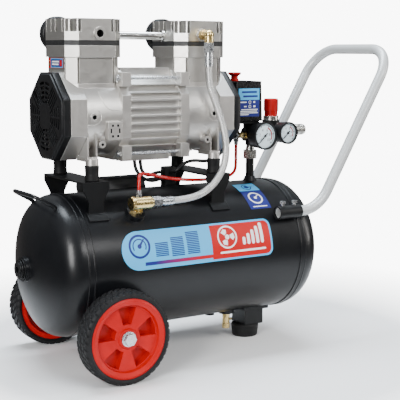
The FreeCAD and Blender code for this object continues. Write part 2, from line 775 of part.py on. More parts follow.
def cranks():
    """An eccentric with a counterweight for each cylinder, half a turn apart."""
    parts = []
    for side in (-1, 1):
        lift = f"pump_axis + {side} * half_stroke"
        eccentric = barrel(side, "crank_radius", "head_offset - 7", "head_offset + 7", "0", lift)
        collar = barrel(side, 12, "head_offset - 12", "head_offset + 17")
        start, length = span(side, "head_offset + 9", "head_offset + 15")
        disc = rod(42, length, start, 0, "pump_axis")
        clear = block(20, 100, 60, f"{start} + 3", 0, "pump_axis" if side > 0 else "pump_axis - 60")
        weight = cut(disc, clear)
        hole = barrel(side, "shaft_radius + 0.02", "head_offset - 20", "head_offset + 20")
        parts.append(cut(fuse(eccentric, collar, weight), hole))
    publish("cranks", together(*parts))


def fans():
    """The two cooling fans on the ends of the shaft."""
    parts = []
    for side in (-1, 1):
        hub = barrel(side, 13, 146, 164)
        blades = []
        for i in range(7):
            spin = Rotation(Vector(1, 0, 0), 360 / 7 * i)
            pitch = Rotation(Vector(0, 0, 1), 32 * side)
            turn = spin.multiply(pitch)
            blade = primitive("Box", {"Length": 2, "Width": 20, "Height": "fan_radius - 10"}, 0, 0, 0, turn)
            corner = turn.multVec(Vector(-1, -10, 0)) + spin.multVec(Vector(0, 0, 9))
            place(blade, f"pump_x + {side} * 155 + {corner.x}", corner.y, f"pump_axis + {corner.z}", turn)
            blades.append(blade)
        hole = barrel(side, "shaft_radius + 0.02", 140, 170)
        parts.append(cut(fuse(hub, *blades), hole))
    publish("fans", together(*parts))


def fan_cover(side):
    """Moulded octagonal cover: arc slots in four quarters and groups of parallel slots between them."""
    shell = octagon(side, "housing_end", "cover_end - 3")
    start, length = span(side, "cover_end - 4", "cover_end")
    corners = clipped("housing_y - 3", "housing_z - 3", "housing_cut_y", "housing_cut_z")
    face = prism("YZ_Plane", corners, length, start, 0, "pump_axis")
    hollow = octagon(side, "housing_end - 1", "cover_end - 4", "4.5")
    slots = []
    near, _ = span(side, "cover_end - 6", "cover_end + 2")
    for inner in (22, 30, 38, 46, 54):
        for quarter in range(4):
            for half in (-1, 1):
                middle = math.pi / 2 * quarter + math.radians(11.5 * half)
                slots.append(slot_cutter(sector(inner, inner + 5, 9.5, middle), near))
    for diagonal in range(4):
        for lane in (-2, -1, 0, 1, 2):
            slots.append(lane_cutter(lane, math.pi / 4 + math.pi / 2 * diagonal, near))
    return cut(fuse(shell, face), hollow, *slots)


def slot_cutter(outline, start):
    """An outline in the XY plane turned to face along X and pushed through the cover's face."""
    shape = Part.Face(outline).extrude(Vector(0, 0, 8))
    return place(solid(shape), start, 0, "pump_axis", ALONG["x"])


def lane_cutter(lane, angle, start):
    shift = lane * 5.6
    inner = math.sqrt(max(26 ** 2 - shift ** 2, 0))
    outer = math.sqrt(60 ** 2 - shift ** 2)
    half = 1.7
    corners = [Vector(inner, shift - half, 0), Vector(outer, shift - half, 0),
               Vector(outer, shift + half, 0), Vector(inner, shift + half, 0)]
    outline = Part.makePolygon(corners + corners[:1])
    outline.rotate(Vector(), Vector(0, 0, 1), math.degrees(angle))
    return slot_cutter(outline, start)


def tie_bolts():
    bolts = []
    reach = "flange_end + 6"
    for a in (-1, 1):
        for b in (-1, 1):
            y, z = f"{a} * tie_y", f"pump_axis + {b} * tie_z"
            stem = rod("tie_radius", f"2 * ({reach})", f"pump_x - ({reach})", y, z)
            ends = [nut(10, 4, f"pump_x - flange_end - 4", y, z), nut(10, 4, f"pump_x + flange_end", y, z)]
            bolts.append(fuse(stem, *ends))
    publish("tie_bolts", together(*bolts))


# ---------------------------------------------------------------- cylinders and heads

CORNERS = ((-1, -1), (-1, 1), (1, -1), (1, 1))


def cylinder(side):
    centre = f"pump_x + {side} * head_offset"
    body = prism("XY_Plane", clipped(50, 50.7, 16, 16), "shoulder_z - cylinder_foot + 1", centre, 0,
                 "cylinder_foot")
    shoulder = prism("XY_Plane", clipped(52.7, 56.5, 18.5, 18.5), "gasket_z - shoulder_z", centre, 0,
                     "shoulder_z")
    grooves = []
    for step in (-33, 33):
        for way in (-1, 1):
            grooves.append(block(3, 8, 60, f"{centre} + {step}", way * 50.7, "shoulder_z - 60"))
            grooves.append(block(8, 3, 60, f"{centre} + {way * 50}", step, "shoulder_z - 60"))
    bore = rod("bore_radius", 80, centre, 0, "cylinder_foot - 5", "z")
    return cut(fuse(body, shoulder), bore, *grooves)


def piston(side, name):
    """Rocking piston and rod, at mid stroke. The rod stops short of the crank's sweep."""
    centre = f"pump_x + {side} * head_offset"
    crown = "gasket_z - half_stroke - 1.5"
    disc = rod("piston_radius", 10, centre, 0, f"{crown} - 10", "z")
    seal = "pump_axis + crank_radius + 2 * half_stroke + 2"
    rod_block = block(12, 22, f"{crown} - 9 - ({seal})", centre, 0, seal)
    yoke = block(12, 34, 8, centre, 0, seal)
    publish("piston_" + name, fuse(disc, rod_block, yoke))


def valve_plates():
    plates = []
    for side in (-1, 1):
        centre = f"pump_x + {side} * head_offset"
        plate = prism("XY_Plane", clipped(52.7, 56.5, 18.5, 18.5), "head_z - gasket_z", centre, 0, "gasket_z")
        holes = [rod(3, 20, f"{centre} + {a}", b, "gasket_z - 5", "z") for a, b in
                 ((-12, 10), (0, 14), (12, 10), (-10, -12), (10, -12))]
        plates.append(cut(plate, *holes))
    publish("valve_plates", together(*plates))


def cylinder_head(side, name):
    """Finned head with a delivery port in front, a crossover port inboard and an intake port behind."""
    centre = f"pump_x + {side} * head_offset"
    outline = clipped(52.7, 56.5, 18.5, 18.5)
    body = prism("XY_Plane", outline, "head_top - head_z", centre, 0, "head_z")
    port = f"{centre} - {side} * 4"
    front = rod(11, 8, port, -59, "port_z", "y")
    cuts = [
        block(60, 26, 11, centre, -22, "head_z - 1"),
        block(60, 26, 11, centre, 22, "head_z - 1"),
        rod("port_radius", 30, port, -62, "port_z", "y"),
        rod(9, 40, f"{centre} - 7", 30, "port_z", "y"),
    ]
    inboard = f"{centre} - 60" if side > 0 else f"{centre} + 30"
    cuts.append(rod("transfer_radius + 0.1", 30, inboard, 0, "port_z - 2"))
    high = "head_top - head_fins + 1"
    for low, wide in ((-51.5, 4), (-45.5, 8.5), (-35, 5), (26, 4), (34, 7), (45, 5)):
        cuts.append(block(wide, 120, high, f"{centre} + {low + wide / 2}", 0, "head_fins"))
    for y, wide in ((-31.4, 5), (-6.3, 9), (13, 4), (31, 5)):
        cuts.append(block(30, wide, high, f"{centre} - 45", y, "head_fins"))
        cuts.append(block(30, wide, high, f"{centre} + 45", y, "head_fins"))
    for y in (24, 38):
        cuts.append(block(60, 6, high, centre, y, "head_fins"))
    sinks = [rod(6, 10, f"{centre} + {a * 24}", b * 32, "head_top - 9", "z") for a, b in CORNERS]
    publish("cylinder_head_" + name, cut(fuse(cut(body, *cuts[4:]), front), *cuts[:4], *sinks))


def head_bolts():
    """Socket-head bolts, sunk in the heads."""
    bolts = []
    for side in (-1, 1):
        for a, b in CORNERS:
            x = f"pump_x + {side} * head_offset + {a * 24}"
            head = rod(5, 8, x, b * 32, "head_top - 9", "z")
            socket = nut(5, 4, x, b * 32, "head_top - 4", "z")
            bolts.append(cut(head, socket))
    publish("head_bolts", together(*bolts))


def transfer_tube():
    """The polished crossover tube between the heads, with a collar at each end."""
    inner = "head_offset - 52.7"
    middle = rod("transfer_radius", f"2 * ({inner}) + 16", f"pump_x - ({inner}) - 8", 0, "port_z - 2")
    collars = [barrel(side, "transfer_radius + 3", f"{inner} - 5", f"{inner} - 0.05", "0", "port_z - 2")
               for side in (-1, 1)]
    bore = rod("transfer_radius - 1.5", 400, "pump_x - 200", 0, "port_z - 2")
    publish("transfer_tube", cut(fuse(middle, *collars), bore))


def intake_filters():
    """Domed filters on the backs of the heads, each on a stub pressed into the intake port."""
    filters = []
    turn = Rotation(Vector(1, 0, 0), -90)
    for side in (-1, 1):
        centre = f"pump_x + {side} * head_offset"
        stub = rod(8.8, 7, f"{centre} - 7", 50.6, "port_z", "y")
        profile = [(0, 0), ("filter_radius - 2", 0), ("filter_radius", 2), ("filter_radius", 16),
                   ("filter_radius - 3", 22), ("filter_radius - 9", 27), ("filter_radius - 17", 30), (0, 31)]
        dome = turned(profile, f"{centre} - 18", 56.6, "port_z", turn)
        filters.append(fuse(stub, dome))
    publish("intake_filters", together(*filters))


# ---------------------------------------------------------------- delivery hose and check valve

def hose_top():
    return size("pump_x") + size("head_offset") - 4


CHECK_Y = -104
CHECK_Z = 298


def brass_elbow():
    x = f"pump_x + head_offset - 4"
    inlet = rod("port_radius - 0.05", 24, x, -66, "port_z", "y")
    collar = rod(9, 8, x, -67.2, "port_z", "y")
    knee = primitive("Sphere", {"Radius": 8.6}, x, -78, "port_z", Rotation())
    arm = rod(8.2, 12, x, -78, "port_z", "y")
    down = rod(8.2, 14, x, -78, "port_z - 14", "z")
    publish("brass_elbow", fuse(inlet, collar, knee, arm, down))


def hose_fittings():
    """The swaged steel ends of the hose: a hexagon nut and a ribbed ferrule at each end."""
    x = "pump_x + head_offset - 4"
    hex_top = nut(17, 17, x, -78, "port_z - 31.05", "z")
    neck = rod(7.2, 6, x, -78, "port_z - 37", "z")
    ferrule = [rod(8.2, 4, x, -78, f"port_z - {40 + 6 * i}", "z") for i in range(3)]
    sleeve = rod(7.4, 22, x, -78, "port_z - 56", "z")
    upper = fuse(hex_top, neck, sleeve, *ferrule)
    start = "check_x + 24"
    nut_low = nut(17, 17, start, CHECK_Y, CHECK_Z)
    neck_low = rod(7.2, 6, f"{start} + 17", CHECK_Y, CHECK_Z)
    sleeve_low = rod(7.4, 22, f"{start} + 20", CHECK_Y, CHECK_Z)
    ribs_low = [rod(8.2, 4, f"{start} + {22 + 6 * i}", CHECK_Y, CHECK_Z) for i in range(3)]
    lower = fuse(nut_low, neck_low, sleeve_low, *ribs_low)
    publish("fittings", together(upper, lower, *tube_nuts()))


def delivery_hose():
    """Braided hose from the right head to the check valve."""
    x = hose_top()
    start_z = size("port_z") - 56
    end_x = size("check_x") + 24 + 42
    points = [
        (x, -78, start_z),
        (x, -78, 497),
        (46, -88, 463),
        (56, -98, 421),
        (58, -106, 383),
        (46, -112, 344),
        (15, -111, 311),
        (-20, CHECK_Y, CHECK_Z),
        (end_x, CHECK_Y, CHECK_Z),
    ]
    publish("delivery_hose", tube(points, size("hose_radius"), name="delivery_hose"))


def check_valve():
    """Brass check valve: a hexagon body along X on a stub screwed into the tank's boss."""
    x = "check_x"
    lean = Rotation(Vector(1, 0, 0), size("check_lean"))
    reach = size("check_reach") - 20
    angle = math.radians(size("check_lean"))
    foot_y = -reach * math.sin(angle)
    foot_z = size("tank_axis") + reach * math.cos(angle)
    stub = rod(7.9, 22, x, foot_y, foot_z, turn=lean)
    base = nut(20, 7, x, foot_y, foot_z, turn=lean)
    body = rod(11, 36, f"{x} - 16", CHECK_Y, CHECK_Z)
    cap = nut(21, 7, f"{x} - 18", CHECK_Y, CHECK_Z)
    snout = rod(8, 24, x, CHECK_Y, CHECK_Z)
    bleed = rod(4.5, 11, f"{x} - 2", CHECK_Y, CHECK_Z, "z")
    publish("check_valve", fuse(stub, base, body, cap, snout, bleed))


def unloader_tube():
    """Thin red bleed tube from the pressure switch to the check valve, held at both ends."""
    x = size("check_x") - 2
    points = [
        (150, 0, 379),
        (150, 0, 353),
        (140, -14, 330),
        (112, -32, 322.5),
        (75, -42, 321.5),
        (36, -49, 322.5),
        (0, -56, 326),
        (-34, -64, 331),
        (-66, -72, 338),
        (-93, -81, 345),
        (-113, -92, 347),
        (x, CHECK_Y, 337),
        (x, CHECK_Y, 321),
    ]
    publish("unloader_tube", tube(points, size("tube_radius"), name="unloader_tube"))


def tube_nuts():
    x = "check_x - 2"
    low = fuse(nut(10, 7, x, CHECK_Y, CHECK_Z + 11, "z"), rod(4, 6, x, CHECK_Y, CHECK_Z + 17, "z"))
    high = fuse(nut(10, 8, 150, 0, 385, "z"), rod(4, 6, 150, 0, 379, "z"))
    return low, high


# ---------------------------------------------------------------- air controls

def riser_pipe():
    bottom = "tank_axis + tank_radius + 9"
    pipe = rod("riser_radius", f"union_z + 4 - ({bottom})", "riser_x", 0, bottom, "z")
    bore = rod("riser_radius - 2.5", 100, "riser_x", 0, "tank_axis + tank_radius", "z")
    publish("riser_pipe", together(cut(pipe, bore), union_nut()))


def union_nut():
    hexagon = nut(24, 16, "riser_x", 0, "union_z", "z")
    neck = taper(9, 7, 10, "riser_x", 0, "union_z + 16")
    hole = rod("riser_radius + 0.05", 5, "riser_x", 0, "union_z - 1", "z")
    return cut(fuse(hexagon, neck), hole)


def manifold():
    """Cast air manifold on the riser, with the regulator body at its right end."""
    z = "manifold_z"
    trunk = rod(13, 40, "riser_x - 14", 0, z)
    column = rod(14, "switch_floor - manifold_z", "riser_x", 0, z, "z")
    stub = rod(9, 24, "riser_x", 0, "union_z + 26", "z")
    regulator = rod(17, "switch_floor - 1 - manifold_z + 14", "regulator_x", 0, f"{z} - 14", "z")
    bridge = rod(11, 50, "riser_x", 0, z)
    base = block(56, 50, 5, "switch_x", 0, "switch_floor - 5")
    large_end = "gauge_large_y + gauge_reach"
    small_end = "gauge_small_y + gauge_reach"
    gauge_boss = rod(9, f"0 - 8 - ({large_end})", "riser_x", large_end, z, "y")
    small_boss = rod(8, f"0 - 8 - ({small_end})", "regulator_x", small_end, f"{z} + 4", "y")
    outlet = rod(9, 30, "regulator_x", 0, f"{z} + 5")
    relief = rod(7, 12, "riser_x - 18", -15, z)
    unloader = rod(6, 30, 150, 0, "switch_floor - 32", "z")
    collar = rod(15, 11.7, "regulator_x", 0, "switch_floor - 5", "z")
    seat = rod(13.05, 14, "regulator_x", 0, "switch_floor - 5", "z")
    publish("manifold", cut(fuse(trunk, column, stub, regulator, bridge, base, gauge_boss, small_boss,
                                 outlet, relief, unloader, collar), seat))


def pressure_switch():
    """The switch's tapered cover."""
    high = "switch_top - switch_floor"
    corners = [(-32, 0), (32, 0), (29, high), (27, f"{high} + 1.5"), (-27, f"{high} + 1.5"), (-29, high)]
    cover = prism("XZ_Plane", corners, 62, "switch_x", 31, "switch_floor")
    inner = [(-29, -1), (29, -1), (26, f"{high} - 3"), (-26, f"{high} - 3")]
    hollow = prism("XZ_Plane", inner, 56, "switch_x", 28, "switch_floor")
    hole = rod(8.1, 10, "switch_x - 13", 0, "switch_top - 5", "z")
    publish("pressure_switch", cut(cover, hollow, hole))


def pull_knob():
    """Red pull-to-start knob."""
    x = "switch_x - 13"
    profile = [(0, -14), (8, -14), (8, 4), (7, 6), (7, 11), (11.5, 13.5), (12.5, 15), (12.5, 17),
               (11.5, 18), (0, 18)]
    publish("pull_knob", turned(profile, x, 0, "switch_top"))


def regulator_knob():
    """Red regulator knob with grip ribs above its plain skirt; its stem turns in the manifold."""
    base = "switch_floor + 7"
    stem = rod(13, 12, "regulator_x", 0, "switch_floor - 5", "z")
    skirt = rod(13, 9, "regulator_x", 0, base, "z")
    grip = turned([(0, 0), (14.2, 0), (14.2, 22), (12.8, 24.5), (0, 24.5)], "regulator_x", 0, f"{base} + 9")
    ribs = []
    for i in range(24):
        angle = math.radians(15 * i)
        ribs.append(rod(0.8, 26, f"regulator_x + {14.6 * math.cos(angle)}", 14.6 * math.sin(angle),
                        f"{base} + 11", "z"))
    publish("regulator_knob", cut(fuse(stem, skirt, grip), *ribs))


def gauge(radius, x, face, z):
    """One gauge: a cup with a raised bezel, a dial floor and the stub that screws into the boss."""
    cup = rod(f"{radius} - 1.5", "gauge_depth", x, face, z, "y")
    bezel = rod(radius, 7, x, face, z, "y")
    recess = rod(f"{radius} - 3", 5.5, x, f"{face} - 1", z, "y")
    stub = rod(5, "gauge_reach - gauge_depth + 1", x, f"{face} + gauge_depth - 1", z, "y")
    pin_hole = rod(1.55, 6, x, f"{face} + 3", z, "y")
    return cut(fuse(cup, bezel, stub), recess, pin_hole)


def gauges():
    large = gauge("gauge_large", "riser_x", "gauge_large_y", "manifold_z")
    small = gauge("gauge_small", "regulator_x", "gauge_small_y", "manifold_z + 4")
    publish("gauges", together(large, small))


def needle(name, x, face, z, length):
    pin = rod(1.5, 6, x, f"{face} + 1.6", z, "y")
    cap = rod(2.4, 1.2, x, f"{face} + 1.6", z, "y")
    turn = Rotation(Vector(0, 1, 0), 225)
    arm = primitive("Box", {"Length": 1.6, "Width": 0.8, "Height": f"{length} * 1.4"}, 0, 0, 0, turn)
    corner = turn.multVec(Vector(-0.8, 0, -0.4 * length))
    place(arm, f"{x} + {corner.x}", f"{face} + 1.9", f"{z} + {corner.z}", turn)
    publish(name, fuse(pin, cap, arm))


def outlet_coupler():
    """Quick coupler: a body on the regulator's outlet and a spring sleeve that slides on it."""
    start = "regulator_x + 30.05"
    z = "manifold_z + 5"
    hexagon = nut(19, 10, start, 0, z)
    body = rod(8, 50, start, 0, z)
    bore = rod(5.5, 46, f"{start} + 6", 0, z)
    stop = rod(9.6, 3, f"{start} + 47", 0, z)
    publish("outlet_coupler", cut(fuse(hexagon, body, stop), bore))
    sleeve = cut(rod("coupler_radius", 26, f"{start} + 20", 0, z), rod(8.05, 40, f"{start} + 15", 0, z))
    grooves = []
    for step in (3, 6.5, 10, 18, 21.5):
        outside = rod("coupler_radius + 1", 1.6, f"{start} + {20 + step}", 0, z)
        inside = rod("coupler_radius - 1", 3, f"{start} + {19 + step}", 0, z)
        grooves.append(cut(outside, inside))
    publish("coupler_sleeve", cut(sleeve, *grooves))


def safety_valve():
    """Relief valve in the manifold's side, with the pull ring on its stem."""
    x = "riser_x - 18.05"
    y, z = -15, "manifold_z"
    body = fuse(nut(13, 6, f"{x} - 6", y, z), rod(5.5, 14, f"{x} - 18", y, z))
    bore = rod(2.1, 18, f"{x} - 19", y, z)
    publish("safety_valve", cut(body, bore))
    stem = rod(2, 18, f"{x} - 22", y, z)
    loop = ring(6, 1.1, f"{x} - 28", y, z, "y")
    publish("safety_ring", fuse(stem, loop))


# ---------------------------------------------------------------- motor capacitor and cables

def capacitor_box():
    """Moulded box on the tank's rear shoulder, its lead, and the small junction box beside it."""
    tank = rod("tank_radius + 0.05", 600, -300, 0, "tank_axis")
    lean = Rotation(Vector(1, 0, 0), -22)
    outline = [(-22, 0), (22, 0), (22, 24), (16, 32), (8, 34), (-8, 34), (-16, 32), (-22, 24)]
    box = prism("YZ_Plane", outline, 121)
    foot = lean.multVec(Vector(0, 0, size("tank_radius") - 6))
    place(box, -155, foot.y, f"tank_axis + {foot.z}", lean)
    lead = rod("cable_radius", 40, -35, 38, 318)
    junction = block(22, 20, 43, 16, 30, 298)
    publish("capacitor_box", cut(fuse(box, lead, junction), tank))


CABLES = {
    "motor_cable_1": [(-84, -20, 372.7), (-84, -20, 352), (-73, -17, 336), (-56, -10, 325), (-37, 1, 320),
                      (-20, 14, 318.5), (-6, 25, 319), (5, 25, 319)],
    "motor_cable_2": [(-72, -20, 372.7), (-72, -20, 350), (-61, -14, 336), (-45, -2, 331), (-27, 16, 330),
                      (-8, 33, 331), (5, 33, 331)],
    "switch_cable": [(140, 12, 420), (140, 12, 398), (132, 12, 372), (112, 10, 354), (84, 6, 349),
                     (60, 4, 353), (38, 2, 351), (24, 2, 341), (16, 8, 332), (16, 20, 332)],
}


def cables():
    for name, points in CABLES.items():
        publish(name, tube(points, size("cable_radius"), name=name))


# ---------------------------------------------------------------- assembly

tank_shell()
tank_end(-1, "tank_end_left")
tank_end(1, "tank_end_right")
tank_plugs()
grab_handle()
push_handle()
handle_sockets()
handle_bolts()
wheel(-1, "front")
wheel(1, "rear")
axle_bolts()
chassis_brackets()
rubber_foot()
drain()
saddle_brackets()
rubber_mounts()
for side, name in ((-1, "left"), (1, "right")):
    crankcase(side, name)
    piston(side, name)
    cylinder_head(side, name)
publish("cylinders", together(cylinder(-1), cylinder(1)))
publish("fan_covers", together(fan_cover(-1), fan_cover(1)))
motor_shell()
motor_inside()
cranks()
fans()
tie_bolts()
valve_plates()
head_bolts()
transfer_tube()
intake_filters()
brass_elbow()
hose_fittings()
delivery_hose()
check_valve()
unloader_tube()
riser_pipe()
manifold()
pressure_switch()
pull_knob()
regulator_knob()
gauges()
needle("gauge_needle_large", "riser_x", "gauge_large_y", "manifold_z", 18)
needle("gauge_needle_small", "regulator_x", "gauge_small_y", "manifold_z + 4", 14)
outlet_coupler()
safety_valve()
capacitor_box()
cables()

document.recompute()
for thing in document.Objects:
    if "Invalid" in thing.State or "Error" in thing.State:
        raise RuntimeError(f"{thing.Label} ({thing.TypeId}) did not recompute: {thing.State}")
for name, thing in pieces.items():
    if thing.Shape.isNull() or not thing.Shape.isValid():
        raise RuntimeError(f"{name} has no valid shape")
os.makedirs("parts", exist_ok=True)
for name, thing in pieces.items():
    thing.Shape.exportStep(f"parts/{name}.step")
print(len(pieces), "sub-parts written")
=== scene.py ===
"""Looks for the portable oil-free air compressor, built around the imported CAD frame."""
import json
import math

import bmesh
import bpy
from mathutils import Matrix, Vector
from mathutils.bvhtree import BVHTree

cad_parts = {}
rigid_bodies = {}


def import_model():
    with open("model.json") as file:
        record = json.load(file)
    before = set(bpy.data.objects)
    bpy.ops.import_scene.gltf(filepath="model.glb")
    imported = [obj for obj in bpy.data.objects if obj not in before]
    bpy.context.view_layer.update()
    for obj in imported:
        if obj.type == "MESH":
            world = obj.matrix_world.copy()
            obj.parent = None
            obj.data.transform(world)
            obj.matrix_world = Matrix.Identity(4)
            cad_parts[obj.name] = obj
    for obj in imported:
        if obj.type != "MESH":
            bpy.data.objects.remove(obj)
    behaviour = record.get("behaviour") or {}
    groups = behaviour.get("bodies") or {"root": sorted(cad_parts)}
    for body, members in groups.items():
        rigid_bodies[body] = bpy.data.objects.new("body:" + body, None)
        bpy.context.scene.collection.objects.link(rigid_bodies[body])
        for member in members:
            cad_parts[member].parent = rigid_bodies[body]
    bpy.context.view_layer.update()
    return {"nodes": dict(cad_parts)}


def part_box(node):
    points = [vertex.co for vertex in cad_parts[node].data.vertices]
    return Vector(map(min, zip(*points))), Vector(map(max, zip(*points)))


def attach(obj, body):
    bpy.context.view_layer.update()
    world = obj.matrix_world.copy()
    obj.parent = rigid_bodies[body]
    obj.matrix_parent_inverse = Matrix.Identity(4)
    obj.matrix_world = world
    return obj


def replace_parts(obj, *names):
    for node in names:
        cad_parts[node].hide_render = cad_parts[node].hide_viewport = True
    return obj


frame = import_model()
NODES = frame["nodes"]
ROOT = "compressor"
MM = 0.001

# Metres: the middle and radius of the tank, the middle of the pump from the tank's, and the gasket's top.
shell_low, shell_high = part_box("tank_shell")
TANK_X = (shell_low.x + shell_high.x) / 2
TANK_Z = 0.183
TANK_R = 0.125
PUMP_X = -0.0665
PUMP_Z = 0.4447
GASKET_TOP = 0.5736


def at(x, y, z):
    """A point given in metres about the middle of the tank, in the frame's coordinates."""
    return Vector((x + TANK_X, y, z))


# ---------------------------------------------------------------- camera

def camera():
    """A long lens from the front left, a little above the pump."""
    data = bpy.data.cameras.new("camera")
    data.sensor_width = 36
    data.lens = 92.62
    data.clip_end = 50
    eye = bpy.data.objects.new("camera", data)
    bpy.context.scene.collection.objects.link(eye)
    place = at(-0.96696, -1.63078, 0.55492)
    right = Vector((0.844529, -0.535489, 0.004706))
    up = Vector((0.072352, 0.122805, 0.989790))
    turn = Matrix((right, up, right.cross(up))).transposed().to_4x4()
    eye.matrix_world = Matrix.Translation(place) @ turn
    bpy.context.scene.camera = eye


camera()


# ---------------------------------------------------------------- materials

class Finish:
    """A Principled material whose colour, roughness and bump come from object-space patterns."""

    def __init__(self, name, color, metallic=0.0, roughness=0.5, **sockets):
        self.material = bpy.data.materials.new(name)
        self.material.use_nodes = True
        self.tree = self.material.node_tree
        self.shader = self.tree.nodes["Principled BSDF"]
        self.set("Base Color", (*color, 1))
        self.set("Metallic", metallic)
        self.set("Roughness", roughness)
        for socket, value in sockets.items():
            self.set(socket.replace("_", " "), value)
        self.material.diffuse_color = (*color, 1)
        self.place = self.node("ShaderNodeTexCoord").outputs["Object"]

    def set(self, socket, value):
        self.shader.inputs[socket].default_value = value

    def node(self, kind, **settings):
        node = self.tree.nodes.new(kind)
        for name, value in settings.items():
            setattr(node, name, value)
        return node

    def link(self, source, target):
        self.tree.links.new(source, target)

    def stretched(self, scale):
        """Object coordinates scaled along each axis."""
        mapping = self.node("ShaderNodeMapping")
        mapping.inputs["Scale"].default_value = scale
        self.link(self.place, mapping.inputs["Vector"])
        return mapping.outputs["Vector"]

    def noise(self, size, detail, place=None):
        """Noise whose blobs are about size metres across."""
        node = self.node("ShaderNodeTexNoise")
        node.inputs["Scale"].default_value = 1 / size
        node.inputs["Detail"].default_value = detail
        node.inputs["Roughness"].default_value = 0.55
        self.link(place or self.place, node.inputs["Vector"])
        return node.outputs["Fac"]

    def cells(self, size):
        """Distance from the middles of cells about size metres across."""
        node = self.node("ShaderNodeTexVoronoi")
        node.inputs["Scale"].default_value = 1 / size
        self.link(self.place, node.inputs["Vector"])
        return node.outputs["Distance"]

    def ranged(self, value, low, high, start=0.35, end=0.65):
        """Maps start to end onto low to high."""
        node = self.node("ShaderNodeMapRange")
        node.inputs["From Min"].default_value = start
        node.inputs["From Max"].default_value = end
        node.inputs["To Min"].default_value = low
        node.inputs["To Max"].default_value = high
        self.link(value, node.inputs["Value"])
        return node.outputs["Result"]

    def blend(self, amount, first, second):
        """A colour between two; each is a colour or a socket."""
        node = self.node("ShaderNodeMix", data_type="RGBA")
        self.link(amount, node.inputs["Factor"])
        color_a, color_b, color_result = 6, 7, 2
        for index, value in ((color_a, first), (color_b, second)):
            if isinstance(value, tuple):
                node.inputs[index].default_value = (*value, 1)
            else:
                self.link(value, node.inputs[index])
        return node.outputs[color_result]

    def color(self, socket):
        self.link(socket, self.shader.inputs["Base Color"])

    def roughness(self, socket):
        self.link(socket, self.shader.inputs["Roughness"])

    def bump(self, *layers, edge=0.0):
        """Stacked bumps, each (height socket, depth in metres, strength), over softened edges."""
        normal = None
        if edge:
            soft = self.node("ShaderNodeBevel", samples=6)
            soft.inputs["Radius"].default_value = edge
            normal = soft.outputs["Normal"]
        for height, depth, strength in layers:
            node = self.node("ShaderNodeBump")
            node.inputs["Distance"].default_value = depth
            node.inputs["Strength"].default_value = strength
            self.link(height, node.inputs["Height"])
            if normal:
                self.link(normal, node.inputs["Normal"])
            normal = node.outputs["Normal"]
        self.link(normal, self.shader.inputs["Normal"])
        return self.material


def scaled(color, share):
    return tuple(min(c * share, 1) for c in color)


def powder_coat(name, color, roughness, coat, metallic=0.0, peel=0.3, **sockets):
    """Sprayed paint: a fine orange peel, slightly uneven gloss and a little dust."""
    f = Finish(name, color, metallic, roughness, Coat_Weight=coat, Coat_Roughness=0.22, **sockets)
    dust = f.ranged(f.noise(0.05, 6), 0, 0.12, 0.45, 0.75)
    dusty = tuple(0.9 * c + 0.012 for c in color)
    f.color(f.blend(dust, color, dusty))
    f.roughness(f.ranged(f.noise(0.03, 4), roughness - 0.02, roughness + 0.04))
    orange_peel = (f.noise(0.0022, 2), 0.0001, peel)
    fine_grain = (f.noise(0.0006, 2), 0.00003, 0.2)
    return f.bump(orange_peel, fine_grain, edge=0.0009)


def cast_metal(name, color, roughness, grain=0.0011, edge=0.0013):
    """Blasted casting: sandy grain, cloudy tone and darker specks in the pits."""
    f = Finish(name, color, 0.92, roughness)
    cloud = f.ranged(f.noise(0.03, 5), 0, 1)
    tone = f.blend(cloud, scaled(color, 0.96), scaled(color, 1.03))
    pits = f.ranged(f.cells(grain * 2.2), 0.14, 0.0, 0.05, 0.3)
    f.color(f.blend(pits, tone, scaled(color, 0.62)))
    f.roughness(f.ranged(f.noise(0.006, 6), roughness - 0.03, roughness + 0.05))
    ripple = (f.noise(0.02, 2), 0.0002, 0.06)
    sand = (f.noise(grain, 3), 0.00012, 0.16)
    return f.bump(ripple, sand, edge=edge)


def machined(name, color, roughness, lines=(1, 1, 1), tint=0.1):
    """Turned or plated metal: fine tool marks and a faint stain, deepest in the red."""
    f = Finish(name, color, 1.0, roughness)
    stain = f.ranged(f.noise(0.012, 4), 0, 1)
    stained = tuple(c * (1 - tint * share) for c, share in zip(color, (1.3, 1.0, 0.8)))
    f.color(f.blend(stain, color, stained))
    f.roughness(f.ranged(f.noise(0.004, 5), roughness - 0.06, roughness + 0.1))
    marks = f.noise(0.0009, 3, place=f.stretched(lines))
    return f.bump((marks, 0.00004, 0.15), edge=0.0005)


def plastic(name, color, roughness, grain=0.0009, depth=0.00008, edge=0.0008, speckle=0.12, **sockets):
    """Moulded plastic or rubber with a fine leathery grain."""
    f = Finish(name, color, 0.0, roughness, **sockets)
    cloud = f.ranged(f.noise(0.018, 4), 0, 1)
    f.color(f.blend(cloud, scaled(color, 1 - speckle), scaled(color, 1 + speckle)))
    f.roughness(f.ranged(f.noise(0.005, 5), roughness - 0.06, roughness + 0.09))
    leather = (f.cells(grain), depth, 0.4)
    ripple = (f.noise(0.006, 3), 0.0001, 0.2)
    return f.bump(leather, ripple, edge=edge)


def printed(name, color, second=None, span=None):
    """Satin printed film; with a span along X it fades from one ink to the other."""
    f = Finish(name, color, 0.0, 0.42, Specular_IOR_Level=0.3)
    grain = f.ranged(f.noise(0.004, 4), 0, 0.1)
    ink = color
    if second:
        split = f.node("ShaderNodeSeparateXYZ")
        f.link(f.place, split.inputs["Vector"])
        ink = f.blend(f.ranged(split.outputs["X"], 0, 1, *span), color, second)
    f.color(f.blend(grain, ink, scaled(color, 0.8)))
    f.roughness(f.ranged(f.noise(0.01, 4), 0.38, 0.48))
    return f.bump((f.noise(0.001, 2), 0.00002, 0.2))


